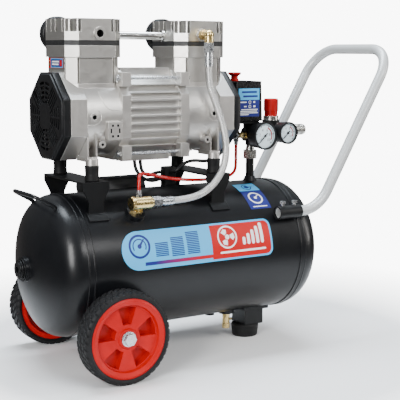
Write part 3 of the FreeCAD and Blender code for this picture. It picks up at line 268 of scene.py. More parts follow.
BLACK_PAINT = powder_coat("tank_black", (0.0038, 0.0042, 0.0052), roughness=0.3, coat=0.07,
                          Specular_IOR_Level=0.24)
FRAME_PAINT = powder_coat("frame_black", (0.0042, 0.0045, 0.005), roughness=0.38, coat=0.05,
                          Specular_IOR_Level=0.24)
HANDLE = powder_coat("handle_silver", (0.53, 0.545, 0.545), roughness=0.36, coat=0.15, metallic=0.2, peel=0.2)
CAST = cast_metal("cast_aluminium", (0.63, 0.61, 0.58), roughness=0.38)
HEAD = cast_metal("head_aluminium", (0.56, 0.545, 0.515), roughness=0.34, grain=0.0009)
FINNED = cast_metal("motor_aluminium", (0.70, 0.685, 0.66), roughness=0.32, grain=0.0008, edge=0.0009)
PLASTIC_RED = (0.40, 0.0004, 0.0006)
RED_HUB = plastic("wheel_red", PLASTIC_RED, roughness=0.4, speckle=0.05, edge=0.0012, Specular_IOR_Level=0.2)
RED_KNOB = plastic("knob_red", PLASTIC_RED, roughness=0.38, speckle=0.05, Specular_IOR_Level=0.25)
RED_TUBE = plastic("tube_red", (0.42, 0.001, 0.002), roughness=0.24, speckle=0.05, depth=0.00002, edge=0.0)
TYRE = plastic("tyre_rubber", (0.0085, 0.0085, 0.009), roughness=0.5, grain=0.0012, speckle=0.25,
               Specular_IOR_Level=0.16)
RUBBER = plastic("mount_rubber", (0.006, 0.006, 0.0062), roughness=0.55, speckle=0.2, Specular_IOR_Level=0.2)
CABLE = plastic("cable_sheath", (0.006, 0.006, 0.0062), roughness=0.4, speckle=0.15, edge=0.0)
BLACK_PLASTIC = plastic("black_plastic", (0.0055, 0.0058, 0.0065), roughness=0.36, speckle=0.15,
                        Specular_IOR_Level=0.28)
BLACK_GLOSS = plastic("switch_black", (0.005, 0.005, 0.0055), roughness=0.26, depth=0.00002, speckle=0.1,
                      Coat_Weight=0.3, Coat_Roughness=0.12)
# Near-black painted shade for the insides of bores and vent slots, standing in for the shade that falls
# there.
HOLLOW_SHADE = plastic("oily_bore", (0.004, 0.004, 0.0042), roughness=0.6, speckle=0.2, edge=0.0)
GASKET = plastic("gasket", (0.01, 0.01, 0.01), roughness=0.5)
BRASS = machined("brass", (0.83, 0.62, 0.27), roughness=0.24)
STEEL = machined("zinc_steel", (0.60, 0.61, 0.62), roughness=0.26)
CHROME = machined("polished_tube", (0.86, 0.85, 0.82), roughness=0.12, lines=(0.15, 1, 1), tint=0.06)
NICKEL = machined("nickel", (0.74, 0.72, 0.67), roughness=0.24)
BRAID = machined("braid_wire", (0.66, 0.65, 0.63), roughness=0.32, tint=0.05)
COPPER = machined("winding_copper", (0.62, 0.29, 0.16), roughness=0.42)
WHITE_DIAL = plastic("dial_white", (0.70, 0.82, 0.87), roughness=0.5, speckle=0.02, depth=0.00001, edge=0.0)
NAVY = (0.012, 0.018, 0.17)
LABEL_RED = (0.46, 0.0008, 0.0016)
INK_BLACK = printed("ink_black", (0.015, 0.015, 0.018))
INK_RED = printed("ink_red", LABEL_RED)
INK_ARC = printed("ink_arc", (0.30, 0.0006, 0.004))
INK_WHITE = printed("ink_white", (0.86, 0.87, 0.88))
INK_SKY = printed("ink_sky", (0.06, 0.42, 0.78))
INK_NAVY = printed("ink_navy", NAVY)
INK_FADE = printed("ink_fade", NAVY, LABEL_RED, (TANK_X - 0.1, TANK_X - 0.005))


# ---------------------------------------------------------------- mesh helpers

def piece(name, mesh, body, material, smooth=None):
    """A new object of the model that rides on a body; smooth is its sharpest smoothed angle in degrees."""
    thing = bpy.data.objects.new(name, mesh)
    bpy.context.scene.collection.objects.link(thing)
    mesh.materials.clear()
    mesh.materials.append(material)
    if smooth:
        mesh.shade_smooth()
        mesh.set_sharp_from_angle(angle=math.radians(smooth))
    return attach(thing, body)


def mesh_from(name, points, faces):
    """A mesh from lists of points and of faces."""
    mesh = bpy.data.meshes.new(name)
    mesh.from_pydata([tuple(p) for p in points], [], faces)
    mesh.update()
    return mesh


def paint(material, *names):
    """Gives CAD nodes a material."""
    for name in names:
        for slot in NODES[name].material_slots:
            slot.material = material


def body_of(name):
    """The body that a CAD node belongs to."""
    return NODES[name].parent.name.removeprefix("body:")


# ---------------------------------------------------------------- cords

ROUTES = {
    "delivery_hose": [
        (0.0363, -0.078, 0.529), (0.0363, -0.078, 0.497), (0.046, -0.088, 0.463), (0.056, -0.098, 0.421),
        (0.058, -0.106, 0.383), (0.046, -0.112, 0.344), (0.015, -0.111, 0.311), (-0.020, -0.104, 0.298),
        (-0.053, -0.104, 0.298)],
    "unloader_tube": [
        (0.150, 0, 0.379), (0.150, 0, 0.353), (0.140, -0.014, 0.330), (0.112, -0.032, 0.3225),
        (0.075, -0.042, 0.3215), (0.036, -0.049, 0.3225), (0, -0.056, 0.326), (-0.034, -0.064, 0.331),
        (-0.066, -0.072, 0.338), (-0.093, -0.081, 0.345), (-0.113, -0.092, 0.347), (-0.121, -0.104, 0.337),
        (-0.121, -0.104, 0.321)],
    "motor_cable_1": [
        (-0.084, -0.020, 0.3727), (-0.084, -0.020, 0.352), (-0.073, -0.017, 0.336), (-0.056, -0.010, 0.325),
        (-0.037, 0.001, 0.320), (-0.020, 0.014, 0.3185), (-0.006, 0.025, 0.319), (0.005, 0.025, 0.319)],
    "motor_cable_2": [
        (-0.072, -0.020, 0.3727), (-0.072, -0.020, 0.350), (-0.061, -0.014, 0.336), (-0.045, -0.002, 0.331),
        (-0.027, 0.016, 0.330), (-0.008, 0.033, 0.331), (0.005, 0.033, 0.331)],
    "switch_cable": [
        (0.140, 0.012, 0.420), (0.140, 0.012, 0.398), (0.132, 0.012, 0.372), (0.112, 0.010, 0.354),
        (0.084, 0.006, 0.349), (0.060, 0.004, 0.353), (0.038, 0.002, 0.351), (0.024, 0.002, 0.341),
        (0.016, 0.008, 0.332), (0.016, 0.020, 0.332)],
}


def centreline(name, thick=0.0):
    """A route's smooth NURBS curve; with a thickness it is a round cord."""
    curve = bpy.data.curves.new(name, "CURVE")
    curve.dimensions = "3D"
    curve.resolution_u = 16
    spline = curve.splines.new("NURBS")
    points = ROUTES[name]
    spline.points.add(len(points) - 1)
    for point, place in zip(spline.points, points):
        point.co = (*at(*place), 1)
    spline.order_u = 3
    spline.use_endpoint_u = True
    curve.bevel_depth = thick / 2
    curve.bevel_resolution = 6
    curve.use_fill_caps = thick > 0
    return curve


def smooth_path(name):
    """The points of a route's NURBS curve."""
    bare = bpy.data.objects.new(name + "_line", centreline(name))
    bpy.context.scene.collection.objects.link(bare)
    mesh = bpy.data.meshes.new_from_object(bare.evaluated_get(bpy.context.evaluated_depsgraph_get()))
    points = [v.co.copy() for v in mesh.vertices]
    bpy.data.objects.remove(bare)
    return points


def declare(cord, name, length, diameter, stiffness, **path):
    """Puts a cord in place of its CAD node."""
    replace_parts(cord, name)


def plain_cord(name, length, diameter, material, stiffness):
    """A round cord that follows its route."""
    cord = bpy.data.objects.new(name + "_cord", centreline(name, diameter))
    bpy.context.scene.collection.objects.link(cord)
    cord.data.materials.append(material)
    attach(cord, ROOT)
    declare(cord, name, length, diameter, stiffness)


def resampled(points, step):
    """Points along a polyline, evenly spaced about step apart."""
    lengths = [0.0]
    for a, b in zip(points, points[1:]):
        lengths.append(lengths[-1] + (b - a).length)
    count = max(int(lengths[-1] / step), 2)
    spaced = []
    k = 0
    for i in range(count + 1):
        want = lengths[-1] * i / count
        while k < len(lengths) - 2 and lengths[k + 1] < want:
            k += 1
        share = (want - lengths[k]) / (lengths[k + 1] - lengths[k])
        spaced.append(points[k].lerp(points[k + 1], share))
    return spaced, lengths[-1]


def carried_frames(points):
    """A pair of cross directions at each point, carried along the line without twist."""
    frames = []
    way = (points[1] - points[0]).normalized()
    side = way.orthogonal().normalized()
    for i in range(len(points)):
        ahead = (points[min(i + 1, len(points) - 1)] - points[max(i - 1, 0)]).normalized()
        side = (side - ahead * side.dot(ahead)).normalized()
        frames.append((side, ahead.cross(side)))
    return frames


def add_tube(vertices, faces, line, frames, radius, sides):
    """Adds a round tube with closed ends to a mesh's vertices and faces."""
    first = len(vertices)
    for point, (side, other) in zip(line, frames):
        for corner in range(sides):
            angle = 2 * math.pi * corner / sides
            vertices.append(point + (side * math.cos(angle) + other * math.sin(angle)) * radius)
    for i in range(len(line) - 1):
        for corner in range(sides):
            a = first + sides * i + corner
            b = first + sides * i + (corner + 1) % sides
            faces.append((a, b, b + sides, a + sides))
    last = first + sides * (len(line) - 1)
    faces.append(tuple(first + corner for corner in reversed(range(sides))))
    faces.append(tuple(last + corner for corner in range(sides)))


def braided_hose():
    """Woven wire sleeve: two sets of flat strands that pass over and under each other."""
    name = "delivery_hose"
    strands = 11
    pitch = 0.034
    strand_radius = 0.00595
    wave = 0.00024
    thickness = 0.00034
    half_width = 0.00115
    core_radius = 0.0056
    core_stride = 6
    path = smooth_path(name)
    points, length = resampled(path, 0.00055)
    frames = carried_frames(points)
    vertices, faces = [], []
    for way in (-1, 1):
        for k in range(strands):
            first = len(vertices)
            for i, (point, (side, other)) in enumerate(zip(points, frames)):
                along = length * i / (len(points) - 1)
                angle = way * 2 * math.pi * along / pitch + 2 * math.pi * k / strands
                lift = way * wave * math.cos(2 * math.pi * strands * along / pitch)
                for turn, rise in ((-1, 0), (0, 1), (1, 0), (0, -0.4)):
                    reach = strand_radius + lift + thickness * rise
                    spread = angle + turn * half_width / strand_radius
                    vertices.append(point + (side * math.cos(spread) + other * math.sin(spread)) * reach)
            for i in range(len(points) - 1):
                a = first + 4 * i
                for c in range(4):
                    d = (c + 1) % 4
                    faces.append((a + c, a + d, a + 4 + d, a + 4 + c))
            last = first + 4 * (len(points) - 1)
            faces.append(tuple(first + c for c in (3, 2, 1, 0)))
            faces.append(tuple(last + c for c in range(4)))
    core = points[::core_stride] + points[-1:]
    core_frames = frames[::core_stride] + frames[-1:]
    add_tube(vertices, faces, core, core_frames, core_radius, sides=24)
    hose = piece(name + "_braid", mesh_from(name, vertices, faces), ROOT, BRAID, smooth=60)
    declare(hose, name, 0.3068, 0.013, "stiff", path=[tuple(p) for p in path])


braided_hose()
plain_cord("unloader_tube", 0.3538, 0.006, RED_TUBE, "stiff")
plain_cord("motor_cable_1", 0.1331, 0.0064, CABLE, "medium")
plain_cord("motor_cable_2", 0.1242, 0.0064, CABLE, "medium")
plain_cord("switch_cable", 0.1907, 0.0064, CABLE, "medium")


# ---------------------------------------------------------------- finishes of the CAD nodes

def split_across(work, place, normal):
    """Cuts every face of a bmesh that crosses a plane."""
    everything = work.verts[:] + work.edges[:] + work.faces[:]
    bmesh.ops.bisect_plane(work, geom=everything, plane_co=place, plane_no=normal)


def softened(name, material, pick, rounds=3):
    """A copy of a CAD node with real rounded edges, in place of the node.

    pick takes an edge's two ends and gives its radius in metres, or 0 to leave it sharp.
    """
    merged = 1e-6
    flat = math.radians(0.5)
    sharp = math.radians(25)
    mesh = NODES[name].data.copy()
    work = bmesh.new()
    work.from_mesh(mesh)
    bmesh.ops.remove_doubles(work, verts=work.verts, dist=merged)
    bmesh.ops.dissolve_limit(work, angle_limit=flat, verts=work.verts, edges=work.edges)
    groups = {}
    for edge in work.edges:
        if len(edge.link_faces) == 2 and edge.calc_face_angle(0) > sharp:
            radius = pick(edge.verts[0].co, edge.verts[1].co)
            if radius:
                groups.setdefault(radius, []).append(edge)
    for radius in sorted(groups, reverse=True):
        edges = [e for e in groups[radius] if e.is_valid]
        bmesh.ops.bevel(work, geom=edges, offset=radius, segments=rounds, profile=0.5, affect="EDGES",
                        clamp_overlap=False, loop_slide=True)
    many_sided = [face for face in work.faces if len(face.verts) > 4]
    bmesh.ops.triangulate(work, faces=many_sided)
    work.to_mesh(mesh)
    work.free()
    copy = piece(name + "_soft", mesh, body_of(name), material, smooth=40)
    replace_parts(copy, name)


def long_edges(shortest, radius):
    """Rounds only the edges at least as long as shortest."""
    return lambda a, b: radius if (a - b).length >= shortest else 0


def refinished(name, material, *patches, level=None):
    """A copy of a CAD node in one finish with patches of others, in place of the node.

    Each patch is a material and a rule that picks faces by their centres; a level first splits the faces
    that cross that height.
    """
    mesh = NODES[name].data.copy()
    if level:
        work = bmesh.new()
        work.from_mesh(mesh)
        split_across(work, (0, 0, level), (0, 0, 1))
        work.to_mesh(mesh)
        work.free()
    copy = piece(name + "_finished", mesh, body_of(name), material, smooth=32)
    for index, (other, chosen) in enumerate(patches, 1):
        mesh.materials.append(other)
        for polygon in mesh.polygons:
            if chosen(polygon.center):
                polygon.material_index = index
    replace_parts(copy, name)


def above(height, right_of=-1.0):
    """Picks the faces above a height and to the right of a place."""
    edge = at(right_of, 0, 0).x
    return lambda c: c.z > height and c.x > edge


def below_gasket(c):
    """Picks the faces of the black band at the foot of a head."""
    return c.z < GASKET_TOP


def inside_bore(across, up, radius):
    """Picks the faces in a bore that runs back from the front, placed from the middle of the pump."""
    centre = at(PUMP_X + across, 0, PUMP_Z + up)
    return lambda c: c.y < -0.04 and math.hypot(c.x - centre.x, c.z - centre.z) < radius


def inside_vents(c):
    """Picks the walls and floors of the slots in the square vent cap."""
    cap_middle = at(PUMP_X - 0.085, 0, 0).x
    in_depth = -0.0775 < c.y < -0.0695
    in_height = -0.037 < c.z - PUMP_Z < -0.01
    return in_depth and in_height and abs(c.x - cap_middle) < 0.0105


def octagon_reach(point):
    """How far out a point lies on the eight-sided outline of a fan cover."""
    across, up = abs(point.y), abs(point.z - PUMP_Z)
    return max(across, up, (across + up) * 0.74)


def cover_edge(a, b):
    """Rounds the outline of a fan cover, and not its slots or very short edges."""
    outline, shortest, radius = 0.0625, 0.002, 0.0014
    outside = min(octagon_reach(a), octagon_reach(b)) > outline
    return radius if outside and (a - b).length > shortest else 0


paint(BLACK_PAINT, "tank_shell", "tank_end_left", "tank_end_right", "grab_handle")
paint(FRAME_PAINT, "tank_plugs", "saddle_brackets", "chassis_brackets", "handle_sockets")
paint(HANDLE, "push_handle")
paint(HEAD, "cylinders")
paint(FINNED, "motor_shell")
paint(GASKET, "valve_plates")
paint(RED_HUB, "wheel_hub_front", "wheel_hub_rear")
paint(RUBBER, "rubber_foot", "rubber_mounts")
paint(BLACK_PLASTIC, "intake_filters", "fans", "gauges")
paint(RED_KNOB, "pull_knob", "regulator_knob")
paint(STEEL, "handle_bolts", "axle_bolts", "tie_bolts", "head_bolts", "motor_shaft", "shaft_bearings")
paint(STEEL, "cranks", "fittings", "safety_ring")
paint(CHROME, "transfer_tube")
paint(NICKEL, "outlet_coupler", "coupler_sleeve", "piston_left", "piston_right")
paint(BRASS, "brass_elbow", "check_valve", "drain_valve", "drain_knob", "safety_valve")
paint(COPPER, "stator", "rotor")
paint(INK_BLACK, "gauge_needle_large", "gauge_needle_small")
refinished("riser_pipe", FRAME_PAINT, (NICKEL, above(0.3485)))
refinished("manifold", FRAME_PAINT, (NICKEL, above(0.4235, right_of=0.2)))
# The near-black patches in the bores and vent slots are painted shade.
refinished("cylinder_head_left", HEAD, (GASKET, below_gasket), (HOLLOW_SHADE, inside_bore(-0.1028, 0.1403, 0.0067)),
           level=GASKET_TOP)
refinished("cylinder_head_right", HEAD, (GASKET, below_gasket), level=GASKET_TOP)
refinished("crankcase_left", CAST, (HOLLOW_SHADE, inside_bore(-0.1205, 0, 0.0042)),
           (HOLLOW_SHADE, inside_bore(-0.106, -0.0467, 0.0028)), (HOLLOW_SHADE, inside_vents))
refinished("crankcase_right", CAST, (HOLLOW_SHADE, inside_bore(0.1205, 0, 0.0042)),
           (HOLLOW_SHADE, inside_bore(0.106, -0.0467, 0.0028)))
softened("fan_covers", BLACK_PLASTIC, cover_edge)
softened("pressure_switch", BLACK_GLOSS, long_edges(shortest=0.012, radius=0.0024), rounds=5)
softened("capacitor_box", BLACK_PLASTIC, long_edges(shortest=0.012, radius=0.0015))


# ---------------------------------------------------------------- tyres

def tread_radius(outer, share, lug_phase):
    """Radius of the tread at a share of the way from its middle line to its shoulder."""
    crown = outer - 0.0002 - 0.0026 * abs(share) ** 6
    slant = 1.5 * share + (0.5 if share > 0 else 0)
    phase = (lug_phase + slant) % 1
    cut = min(phase, 1 - phase) * 2
    if abs(share) > 0.1 and cut < 0.34:
        crown -= 0.0022
    if 0.42 < abs(share) < 0.48 or abs(share) < 0.06:
        crown -= 0.0016
    return crown


def tyre(name, body, side):
    """A tyre with curved walls and slanted lugs cut across its tread."""
    low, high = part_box(name)
    centre = (low + high) / 2
    outer = (high.z - low.z) / 2
    half = (high.y - low.y) / 2
    turns, lugs, tread_steps = 720, 40, 30
    shoulder = half - 0.0045
    wall = [(-half + 0.002, outer - 0.0112), (-half, outer - 0.0072), (-half + 0.0011, outer - 0.0042)]
    tread = [shoulder * (2 * i / tread_steps - 1) for i in range(tread_steps + 1)]
    vertices, faces = [], []
    for i in range(turns):
        angle = 2 * math.pi * i / turns
        profile = wall + [(y, tread_radius(outer, y / half, lugs * i / turns)) for y in tread]
        profile += [(-y, radius) for y, radius in reversed(wall)]
        for y, radius in profile:
            vertices.append((centre.x + radius * math.sin(angle), centre.y + y * side,
                             centre.z + radius * math.cos(angle)))
    count = len(profile)
    for i in range(turns):
        j = (i + 1) % turns
        for k in range(count):
            m = (k + 1) % count
            corner = (i * count + k, i * count + m, j * count + m, j * count + k)
            faces.append(corner if side > 0 else corner[::-1])
    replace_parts(piece(name + "_tread", mesh_from(name, vertices, faces), body, TYRE, smooth=32), name)


tyre("tyre_front", "wheel_front", -1)
tyre("tyre_rear", "wheel_rear", 1)


# ---------------------------------------------------------------- raised lines of the castings

def surface(name):
    """A CAD node's skin, to find where a ray meets it."""
    mesh = NODES[name].data
    return BVHTree.FromPolygons([v.co for v in mesh.vertices], [tuple(p.vertices) for p in mesh.polygons])


def ridge(name, casting, corners):
    """A fine raised line laid on the front of a casting through (x, z) corners."""
    skin = surface(casting)
    spaced, _ = resampled([at(x, -0.3, z) for x, z in corners], 0.0008)
    hits = [skin.ray_cast(point, Vector((0, 1, 0)))[0] for point in spaced]
    line = [hit for hit in hits if hit is not None]
    vertices, faces = [], []
    add_tube(vertices, faces, line, carried_frames(line), radius=0.0006, sides=8)
    piece(name, mesh_from(name, vertices, faces), ROOT, CAST, smooth=60)


def casting_lines():
    """The same three lines on each crankcase, mirrored about the middle of the pump."""
    lines = {
        "flow_line": [(0.106, 0.487), (0.104, 0.476), (0.099, 0.464), (0.092, 0.4575), (0.086, 0.4555),
                      (0.073, 0.4555)],
        "port_line": [(0.134, 0.4315), (0.119, 0.4315), (0.113, 0.434), (0.1075, 0.440), (0.1075, 0.450),
                      (0.113, 0.4565)],
        "sump_line": [(0.139, 0.411), (0.126, 0.4112), (0.113, 0.4142), (0.104, 0.4195), (0.098, 0.4254)],
    }
    for side, end in ((-1, "left"), (1, "right")):
        for name, corners in lines.items():
            ridge(f"{name}_{end}", f"crankcase_{end}", [(PUMP_X + side * x, z) for x, z in corners])


casting_lines()


# ---------------------------------------------------------------- printed labels

def rounded_box(x0, y0, x1, y1, radius, steps=8, corners=(1, 1, 1, 1)):
    """A rectangle's outline with rounded corners, each with its own share of the radius."""
    outline = []
    middles = ((x0, y0, 180), (x1, y0, 270), (x1, y1, 0), (x0, y1, 90))
    for (x, y, start), share in zip(middles, corners):
        r = radius * share
        cx = x + r if x == x0 else x - r
        cy = y + r if y == y0 else y - r
        for i in range(steps + 1 if r else 1):
            angle = math.radians(start + 90 * i / steps)
            outline.append((cx + r * math.cos(angle), cy + r * math.sin(angle)))
    return outline


def rectangle(x0, y0, x1, y1):
    return [(x0, y0), (x1, y0), (x1, y1), (x0, y1)]


def ring(x, y, outer, inner, first=0, last=360, steps=40):
    """An annular sector as a fan of four-sided outlines."""
    angles = [math.radians(first + (last - first) * i / steps) for i in range(steps + 1)]
    outlines = []
    for a, b in zip(angles, angles[1:]):
        corners = ((inner, a), (outer, a), (outer, b), (inner, b))
        outlines.append([(x + r * math.cos(t), y + r * math.sin(t)) for r, t in corners])
    return outlines


def film(name, outlines, material, bend, slices=()):
    """Flat outlines cut into strips at each slice, then laid on a surface by bend(x, y, lift)."""
    work = bmesh.new()
    for outline in outlines:
        work.faces.new([work.verts.new((x, y, 0)) for x, y in outline])
    bmesh.ops.triangulate(work, faces=work.faces[:])
    for cut in slices:
        split_across(work, (0, cut, 0), (0, 1, 0))
    for face in work.faces:
        if face.normal.z < 0:
            face.normal_flip()
    for part in bmesh.ops.extrude_face_region(work, geom=work.faces[:])["geom"]:
        if isinstance(part, bmesh.types.BMVert):
            part.co.z = 1
    for vertex in work.verts:
        vertex.co = bend(vertex.co.x, vertex.co.y, vertex.co.z)
    bmesh.ops.recalc_face_normals(work, faces=work.faces)
    mesh = bpy.data.meshes.new(name)
    work.to_mesh(mesh)
    work.free()
    piece(name, mesh, ROOT, material, smooth=30)


# Metres: a film's thickness, the undersides of stacked films above the tank, and the step between layers.
FILM = 0.00012
PAINT_TOP = 0.00025
FIELD_TOP = 0.0004
PANEL_TOP = 0.00055
LAYER = 0.0002


def on_tank(base):
    """Lays (x, arc length from the top down the front) millimetres on the tank, base metres above it."""
    def bend(x, arc, lift):
        radius = TANK_R + base + FILM * lift
        angle = arc * MM / TANK_R
        return at(x * MM, -radius * math.sin(angle), TANK_Z + radius * math.cos(angle))
    return bend


def on_front(y):
    """Lays (x, z) millimetres on a plane that faces the viewer."""
    return lambda x, z, lift: at(x * MM, y - FILM * lift, z * MM)


def on_left(x):
    """Lays (y, z) millimetres on a plane that faces left, read from that side."""
    return lambda y, z, lift: at(x - FILM * lift, y * MM, z * MM)


def arc_slices(low, high, pitch=2.5):
    """Arc lengths where a film is cut across, so that it bends round the tank."""
    return [pitch * i for i in range(math.ceil(low / pitch), math.ceil(high / pitch))]


def tank_label():
    """The long label: a dial and stripes on a sky field, a fan and rising bars on a red panel."""
    low, high, split = 125.5, 194.2, 18
    cuts = arc_slices(low, high)
    middle, bow = (low + high) / 2, 34.3
    bow_x = -163 + bow
    turns = [math.pi * i / 36 for i in range(37)]
    left = [(bow_x - bow * math.sin(turn), middle + bow * math.cos(turn)) for turn in turns]
    right = [point for point in rounded_box(0, low, 150, high, 13) if point[0] > split]
    film("label_field", [left + right], INK_SKY, on_tank(PAINT_TOP), cuts)
    panel = rounded_box(split, low + 3.6, 146, high - 3.6, 10, corners=(0, 1, 1, 0))
    film("label_panel", [panel], INK_RED, on_tank(FIELD_TOP), cuts)
    film("label_bar", [rectangle(-120, high - 13, split, high - 7)], INK_FADE, on_tank(FIELD_TOP), cuts)
    x, y = -128, 153
    pointer = [(x - 2, y - 1.5), (x + 2, y + 1.5), (x + 11, y - 12), (x + 9.5, y - 13)]
    rings = ring(x, y, 21, 17) + ring(x, y, 4, 0.4, steps=24) + ring(x, y, 13.5, 11.5, 150, 390, 30)
    film("label_dial", [pointer, *rings], INK_NAVY, on_tank(FIELD_TOP), cuts)
    stripes = []
    for left_end, top in ((-98, 150), (-66, 143), (-34, 136)):
        while top < 174:
            stripes.append(rounded_box(left_end, top, left_end + 26, top + 1.9, 0.9, steps=3))
            top += 3.1
    film("label_stripes", stripes, INK_NAVY, on_tank(FIELD_TOP), cuts)
    x, y = 52, 153
    marks = ring(x, y, 21, 18) + ring(x, y, 4.5, 0.5, steps=24)
    blade = [(6, -0.5), (15, -0.45), (16, 0.1), (13, 0.5), (7, 0.35)]
    for degrees in (0, 120, 240):
        turn = math.radians(degrees)
        marks.append([(x + r * math.cos(turn + t), y + r * math.sin(turn + t)) for r, t in blade])
    for x, top in ((84, 156), (94, 150), (104, 144), (114, 138), (124, 132.5)):
        marks.append(rounded_box(x, top, x + 6.5, 170, 3))
    marks.append(rounded_box(34, 178.5, 134, 182, 1.6))
    film("label_marks", marks, INK_WHITE, on_tank(PANEL_TOP), cuts)


def small_label():
    """The two-colour plate at the top right, with a dial in each half."""
    low, split, high = 28.4, 56.5, 104.7
    left, right, x = 122, 168, 145
    cuts = arc_slices(low, high)
    film("plate_sky", [rectangle(left, low, right, split)], INK_SKY, on_tank(PAINT_TOP), cuts)
    film("plate_navy", [rectangle(left, split, right, high)], INK_NAVY, on_tank(PAINT_TOP), cuts)
    y = 43
    dark = ring(x, y, 10, 8.2, 0, 300) + ring(x, y, 5, 0.4, steps=20)
    film("plate_dial", [*dark, rounded_box(x + 5, y - 0.8, x + 13, y + 0.8, 0.7)], INK_NAVY,
         on_tank(FIELD_TOP), cuts)
    y = 78
    light = ring(x, y, 15, 12) + ring(x, y, 3, 0.4, steps=20)
    light.append([(x - 1, y + 1), (x - 1.4, y - 1.6), (x + 8, y - 7.5), (x + 8.8, y - 6.2)])
    light.append(rounded_box(129, 98.4, 161, 100.2, 0.8))
    film("plate_mark", light, INK_WHITE, on_tank(FIELD_TOP), cuts)


def switch_label():
    """The pressure switch's plate, with bars in place of its wording."""
    front = -0.0312
    left, right = 134, 181.5
    low, split, high = 434, 465.5, 487
    film("switch_sky", [rectangle(left, split, right, high)], INK_SKY, on_front(front))
    film("switch_navy", [rectangle(left, low, right, split)], INK_NAVY, on_front(front))
    dark = [rounded_box(141, 478.5, 175.5, 482, 0.5), rounded_box(144, 470.5, 177.5, 474, 0.5)]
    film("switch_bars", dark, INK_NAVY, on_front(front - LAYER))
    light = []
    for z, bar_left, block_right in ((461.2, 138, 171.5), (453.2, 146, 172.5)):
        light.append(rounded_box(bar_left, z - 1, 152, z + 1, 0.5))
        light.append(rounded_box(167.5, z - 1.6, block_right, z + 1.6, 0.5))
        light += ring(159.5, z, 3, 2.2, 0, 350, 20)
    lines = ((446.6, 140, 178), (443.4, 138, 176), (440.2, 138, 178.5), (437, 138, 157))
    for z, bar_left, bar_right in lines:
        light.append(rounded_box(bar_left, z, bar_right, z + 1.6, 0.3))
    film("switch_marks", light, INK_WHITE, on_front(front - LAYER))


def cylinder_sticker():
    """The small sticker on the left cylinder, in four layers of film."""
    face = -0.2236
    film("sticker_red", [rounded_box(-27, 526.5, 33, 543.5, 0.8)], INK_RED, on_left(face))
    film("sticker_sky", [rounded_box(-26, 527.2, 22, 542.8, 0.6)], INK_SKY, on_left(face - LAYER))
    film("sticker_navy", [rounded_box(-24, 528.6, 20, 541.4, 0.6)], INK_NAVY, on_left(face - 2 * LAYER))
    film("sticker_amber", [[(24, 529.5), (31, 529.5), (27.5, 540.5)]], BRASS, on_left(face - LAYER))
    bars = [rounded_box(-12, 536, 16, 538.6, 0.4), rounded_box(-10, 531.4, 16, 534, 0.4)]
    film("sticker_marks", bars, INK_WHITE, on_left(face - 3 * LAYER))
    film("sticker_end", [rounded_box(-23, 529.6, -15, 540.4, 0.4)], INK_RED, on_left(face - 3 * LAYER))


tank_label()
small_label()
switch_label()
cylinder_sticker()


# ---------------------------------------------------------------- gauge dials

def flat_text(body, size):
    """The mesh of a short text, centred on the origin."""
    text = bpy.data.curves.new("text", "FONT")
    text.body = body
    text.size = size
    text.align_x = "CENTER"
    text.align_y = "CENTER"
    holder = bpy.data.objects.new("text", text)
    bpy.context.scene.collection.objects.link(holder)
    mesh = bpy.data.meshes.new_from_object(holder.evaluated_get(bpy.context.evaluated_depsgraph_get()))
    bpy.data.objects.remove(holder)
    return mesh


def dial(name, x, z, y, radius):
    """A white face with minor and major ticks, numbers and a red arc; y is in metres, the rest in mm."""
    start, sweep, ticks_each, numbers = 225, 270, 10, 6
    circle = [2 * math.pi * i / 64 for i in range(64)]
    face = [(x + radius * math.cos(a), z + radius * math.sin(a)) for a in circle]
    film(name + "_face", [face], WHITE_DIAL, on_front(y - 0.0001))
    printed_on = on_front(y - 0.00025)
    ticks = []
    tick_count = ticks_each * (numbers - 1)
    for i in range(tick_count + 1):
        angle = math.radians(start - sweep * i / tick_count)
        inner, half = (0.76, 0.032) if i % ticks_each == 0 else (0.83, 0.012)
        along = Vector((math.cos(angle), math.sin(angle))) * radius
        across = along.orthogonal()
        corners = ((inner, -half), (0.92, -half), (0.92, half), (inner, half))
        ticks.append([(x + p.x, z + p.y) for p in (along * r + across * h for r, h in corners)])
    film(name + "_ticks", ticks, INK_BLACK, printed_on)
    film(name + "_arc", ring(x, z, radius * 0.74, radius * 0.64, -32, 66, 30), INK_ARC, printed_on)
    scale = ring(x, z, radius * 0.9, radius * 0.88, start - sweep, start, 60)
    film(name + "_scale", scale, INK_BLACK, printed_on)
    vertices, faces = [], []
    for i in range(numbers):
        angle = math.radians(start - sweep * i / (numbers - 1))
        text_x = x + radius * 0.5 * math.cos(angle)
        text_z = z + radius * 0.5 * math.sin(angle)
        number = flat_text(str(2 * i), radius * 0.32)
        first = len(vertices)
        vertices += [at((v.co.x + text_x) * MM, y - 0.0003, (v.co.y + text_z) * MM) for v in number.vertices]
        faces += [tuple(first + k for k in polygon.vertices) for polygon in number.polygons]
    piece(name + "_numbers", mesh_from(name + "_numbers", vertices, faces), ROOT, INK_BLACK)


dial("large_dial", 183, 397.8, -0.0485, 23.2)
dial("small_dial", 232, 401.8, -0.0550, 18.2)


# ---------------------------------------------------------------- floor and light

def floor():
    """A pale floor that fades out into the white around it."""
    half, fade_start, fade_end = 3, 0.42, 0.85
    corners = [(-half, -half, 0), (half, -half, 0), (half, half, 0), (-half, half, 0)]
    mesh = mesh_from("floor", corners, [(0, 1, 2, 3)])
    f = Finish("floor", (0.93, 0.93, 0.93), 0.0, 0.7)
    f.color(f.blend(f.ranged(f.noise(0.3, 3), 0, 1), (0.92, 0.92, 0.92), (0.94, 0.94, 0.94)))
    reach = f.node("ShaderNodeVectorMath", operation="LENGTH")
    f.link(f.place, reach.inputs[0])
    solid = f.ranged(reach.outputs["Value"], 1.0, 0.0, fade_start, fade_end)
    f.link(solid, f.shader.inputs["Alpha"])
    mesh.materials.append(f.bump((f.noise(0.004, 3), 0.0001, 0.1)))
    thing = bpy.data.objects.new("floor", mesh)
    bpy.context.scene.collection.objects.link(thing)


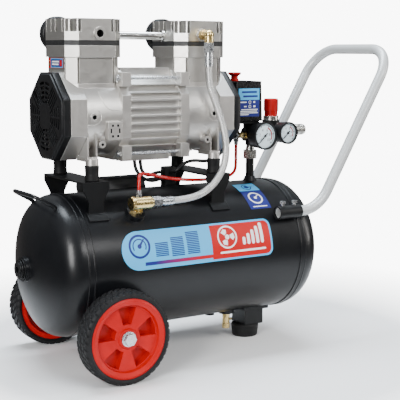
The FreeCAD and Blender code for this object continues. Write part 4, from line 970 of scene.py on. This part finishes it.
def soft_box(name, place, target, size, power, color=(1, 1, 1)):
    """A rectangular area light turned to a target."""
    data = bpy.data.lights.new(name, "AREA")
    data.shape = "RECTANGLE"
    data.size, data.size_y = size
    data.energy = power
    data.color = color
    lamp = bpy.data.objects.new(name, data)
    bpy.context.scene.collection.objects.link(lamp)
    lamp.location = place
    lamp.rotation_euler = (Vector(target) - Vector(place)).to_track_quat("-Z", "Y").to_euler()


def studio():
    """Soft area lights in a dim grey room; straight to the camera, the room is plain white.

    The white's strength is high because the view transform shows a strength of 1 as grey.
    """
    world = bpy.data.worlds.new("studio")
    world.use_nodes = True
    tree = world.node_tree
    backdrop = tree.nodes["Background"]
    backdrop.inputs["Color"].default_value = (1, 1, 1, 1)
    backdrop.inputs["Strength"].default_value = 9.0
    room = tree.nodes.new("ShaderNodeBackground")
    room.inputs["Strength"].default_value = 0.8
    way = tree.nodes.new("ShaderNodeTexCoord")
    split = tree.nodes.new("ShaderNodeSeparateXYZ")
    height = tree.nodes.new("ShaderNodeMapRange")
    height.inputs["From Min"].default_value = -1
    ramp = tree.nodes.new("ShaderNodeValToRGB")
    stops = ramp.color_ramp.elements
    stops[0].position = 0.42
    stops[0].color = (0.20, 0.18, 0.17, 1)
    stops[1].position = 1.0
    stops[1].color = (0.95, 1.0, 1.06, 1)
    horizon = stops.new(0.5)
    horizon.color = (0.13, 0.125, 0.12, 1)
    path = tree.nodes.new("ShaderNodeLightPath")
    mix = tree.nodes.new("ShaderNodeMixShader")
    for source, target in (
            (way.outputs["Generated"], split.inputs["Vector"]),
            (split.outputs["Z"], height.inputs["Value"]),
            (height.outputs["Result"], ramp.inputs["Fac"]),
            (ramp.outputs["Color"], room.inputs["Color"]),
            (path.outputs["Is Camera Ray"], mix.inputs["Fac"]),
            (room.outputs["Background"], mix.inputs[1]),
            (backdrop.outputs["Background"], mix.inputs[2]),
            (mix.outputs["Shader"], tree.nodes["World Output"].inputs["Surface"])):
        tree.links.new(source, target)
    bpy.context.scene.world = world
    soft_box("key", (-2.4, -1.6, 1.15), (-0.1, 0, 0.4), (0.8, 1.5), 95)
    soft_box("front", (0.5, -2.6, 1.9), (0, 0, 0.35), (1.4, 0.8), 50)
    soft_box("fill", (2.4, -1.4, 0.9), (0, 0, 0.3), (0.5, 1.4), 34, (1.0, 0.97, 0.93))
    soft_box("top", (0, 0.3, 2.2), (0, 0, 0.2), (2.0, 0.7), 95, (0.84, 0.92, 1.0))


floor()
studio()
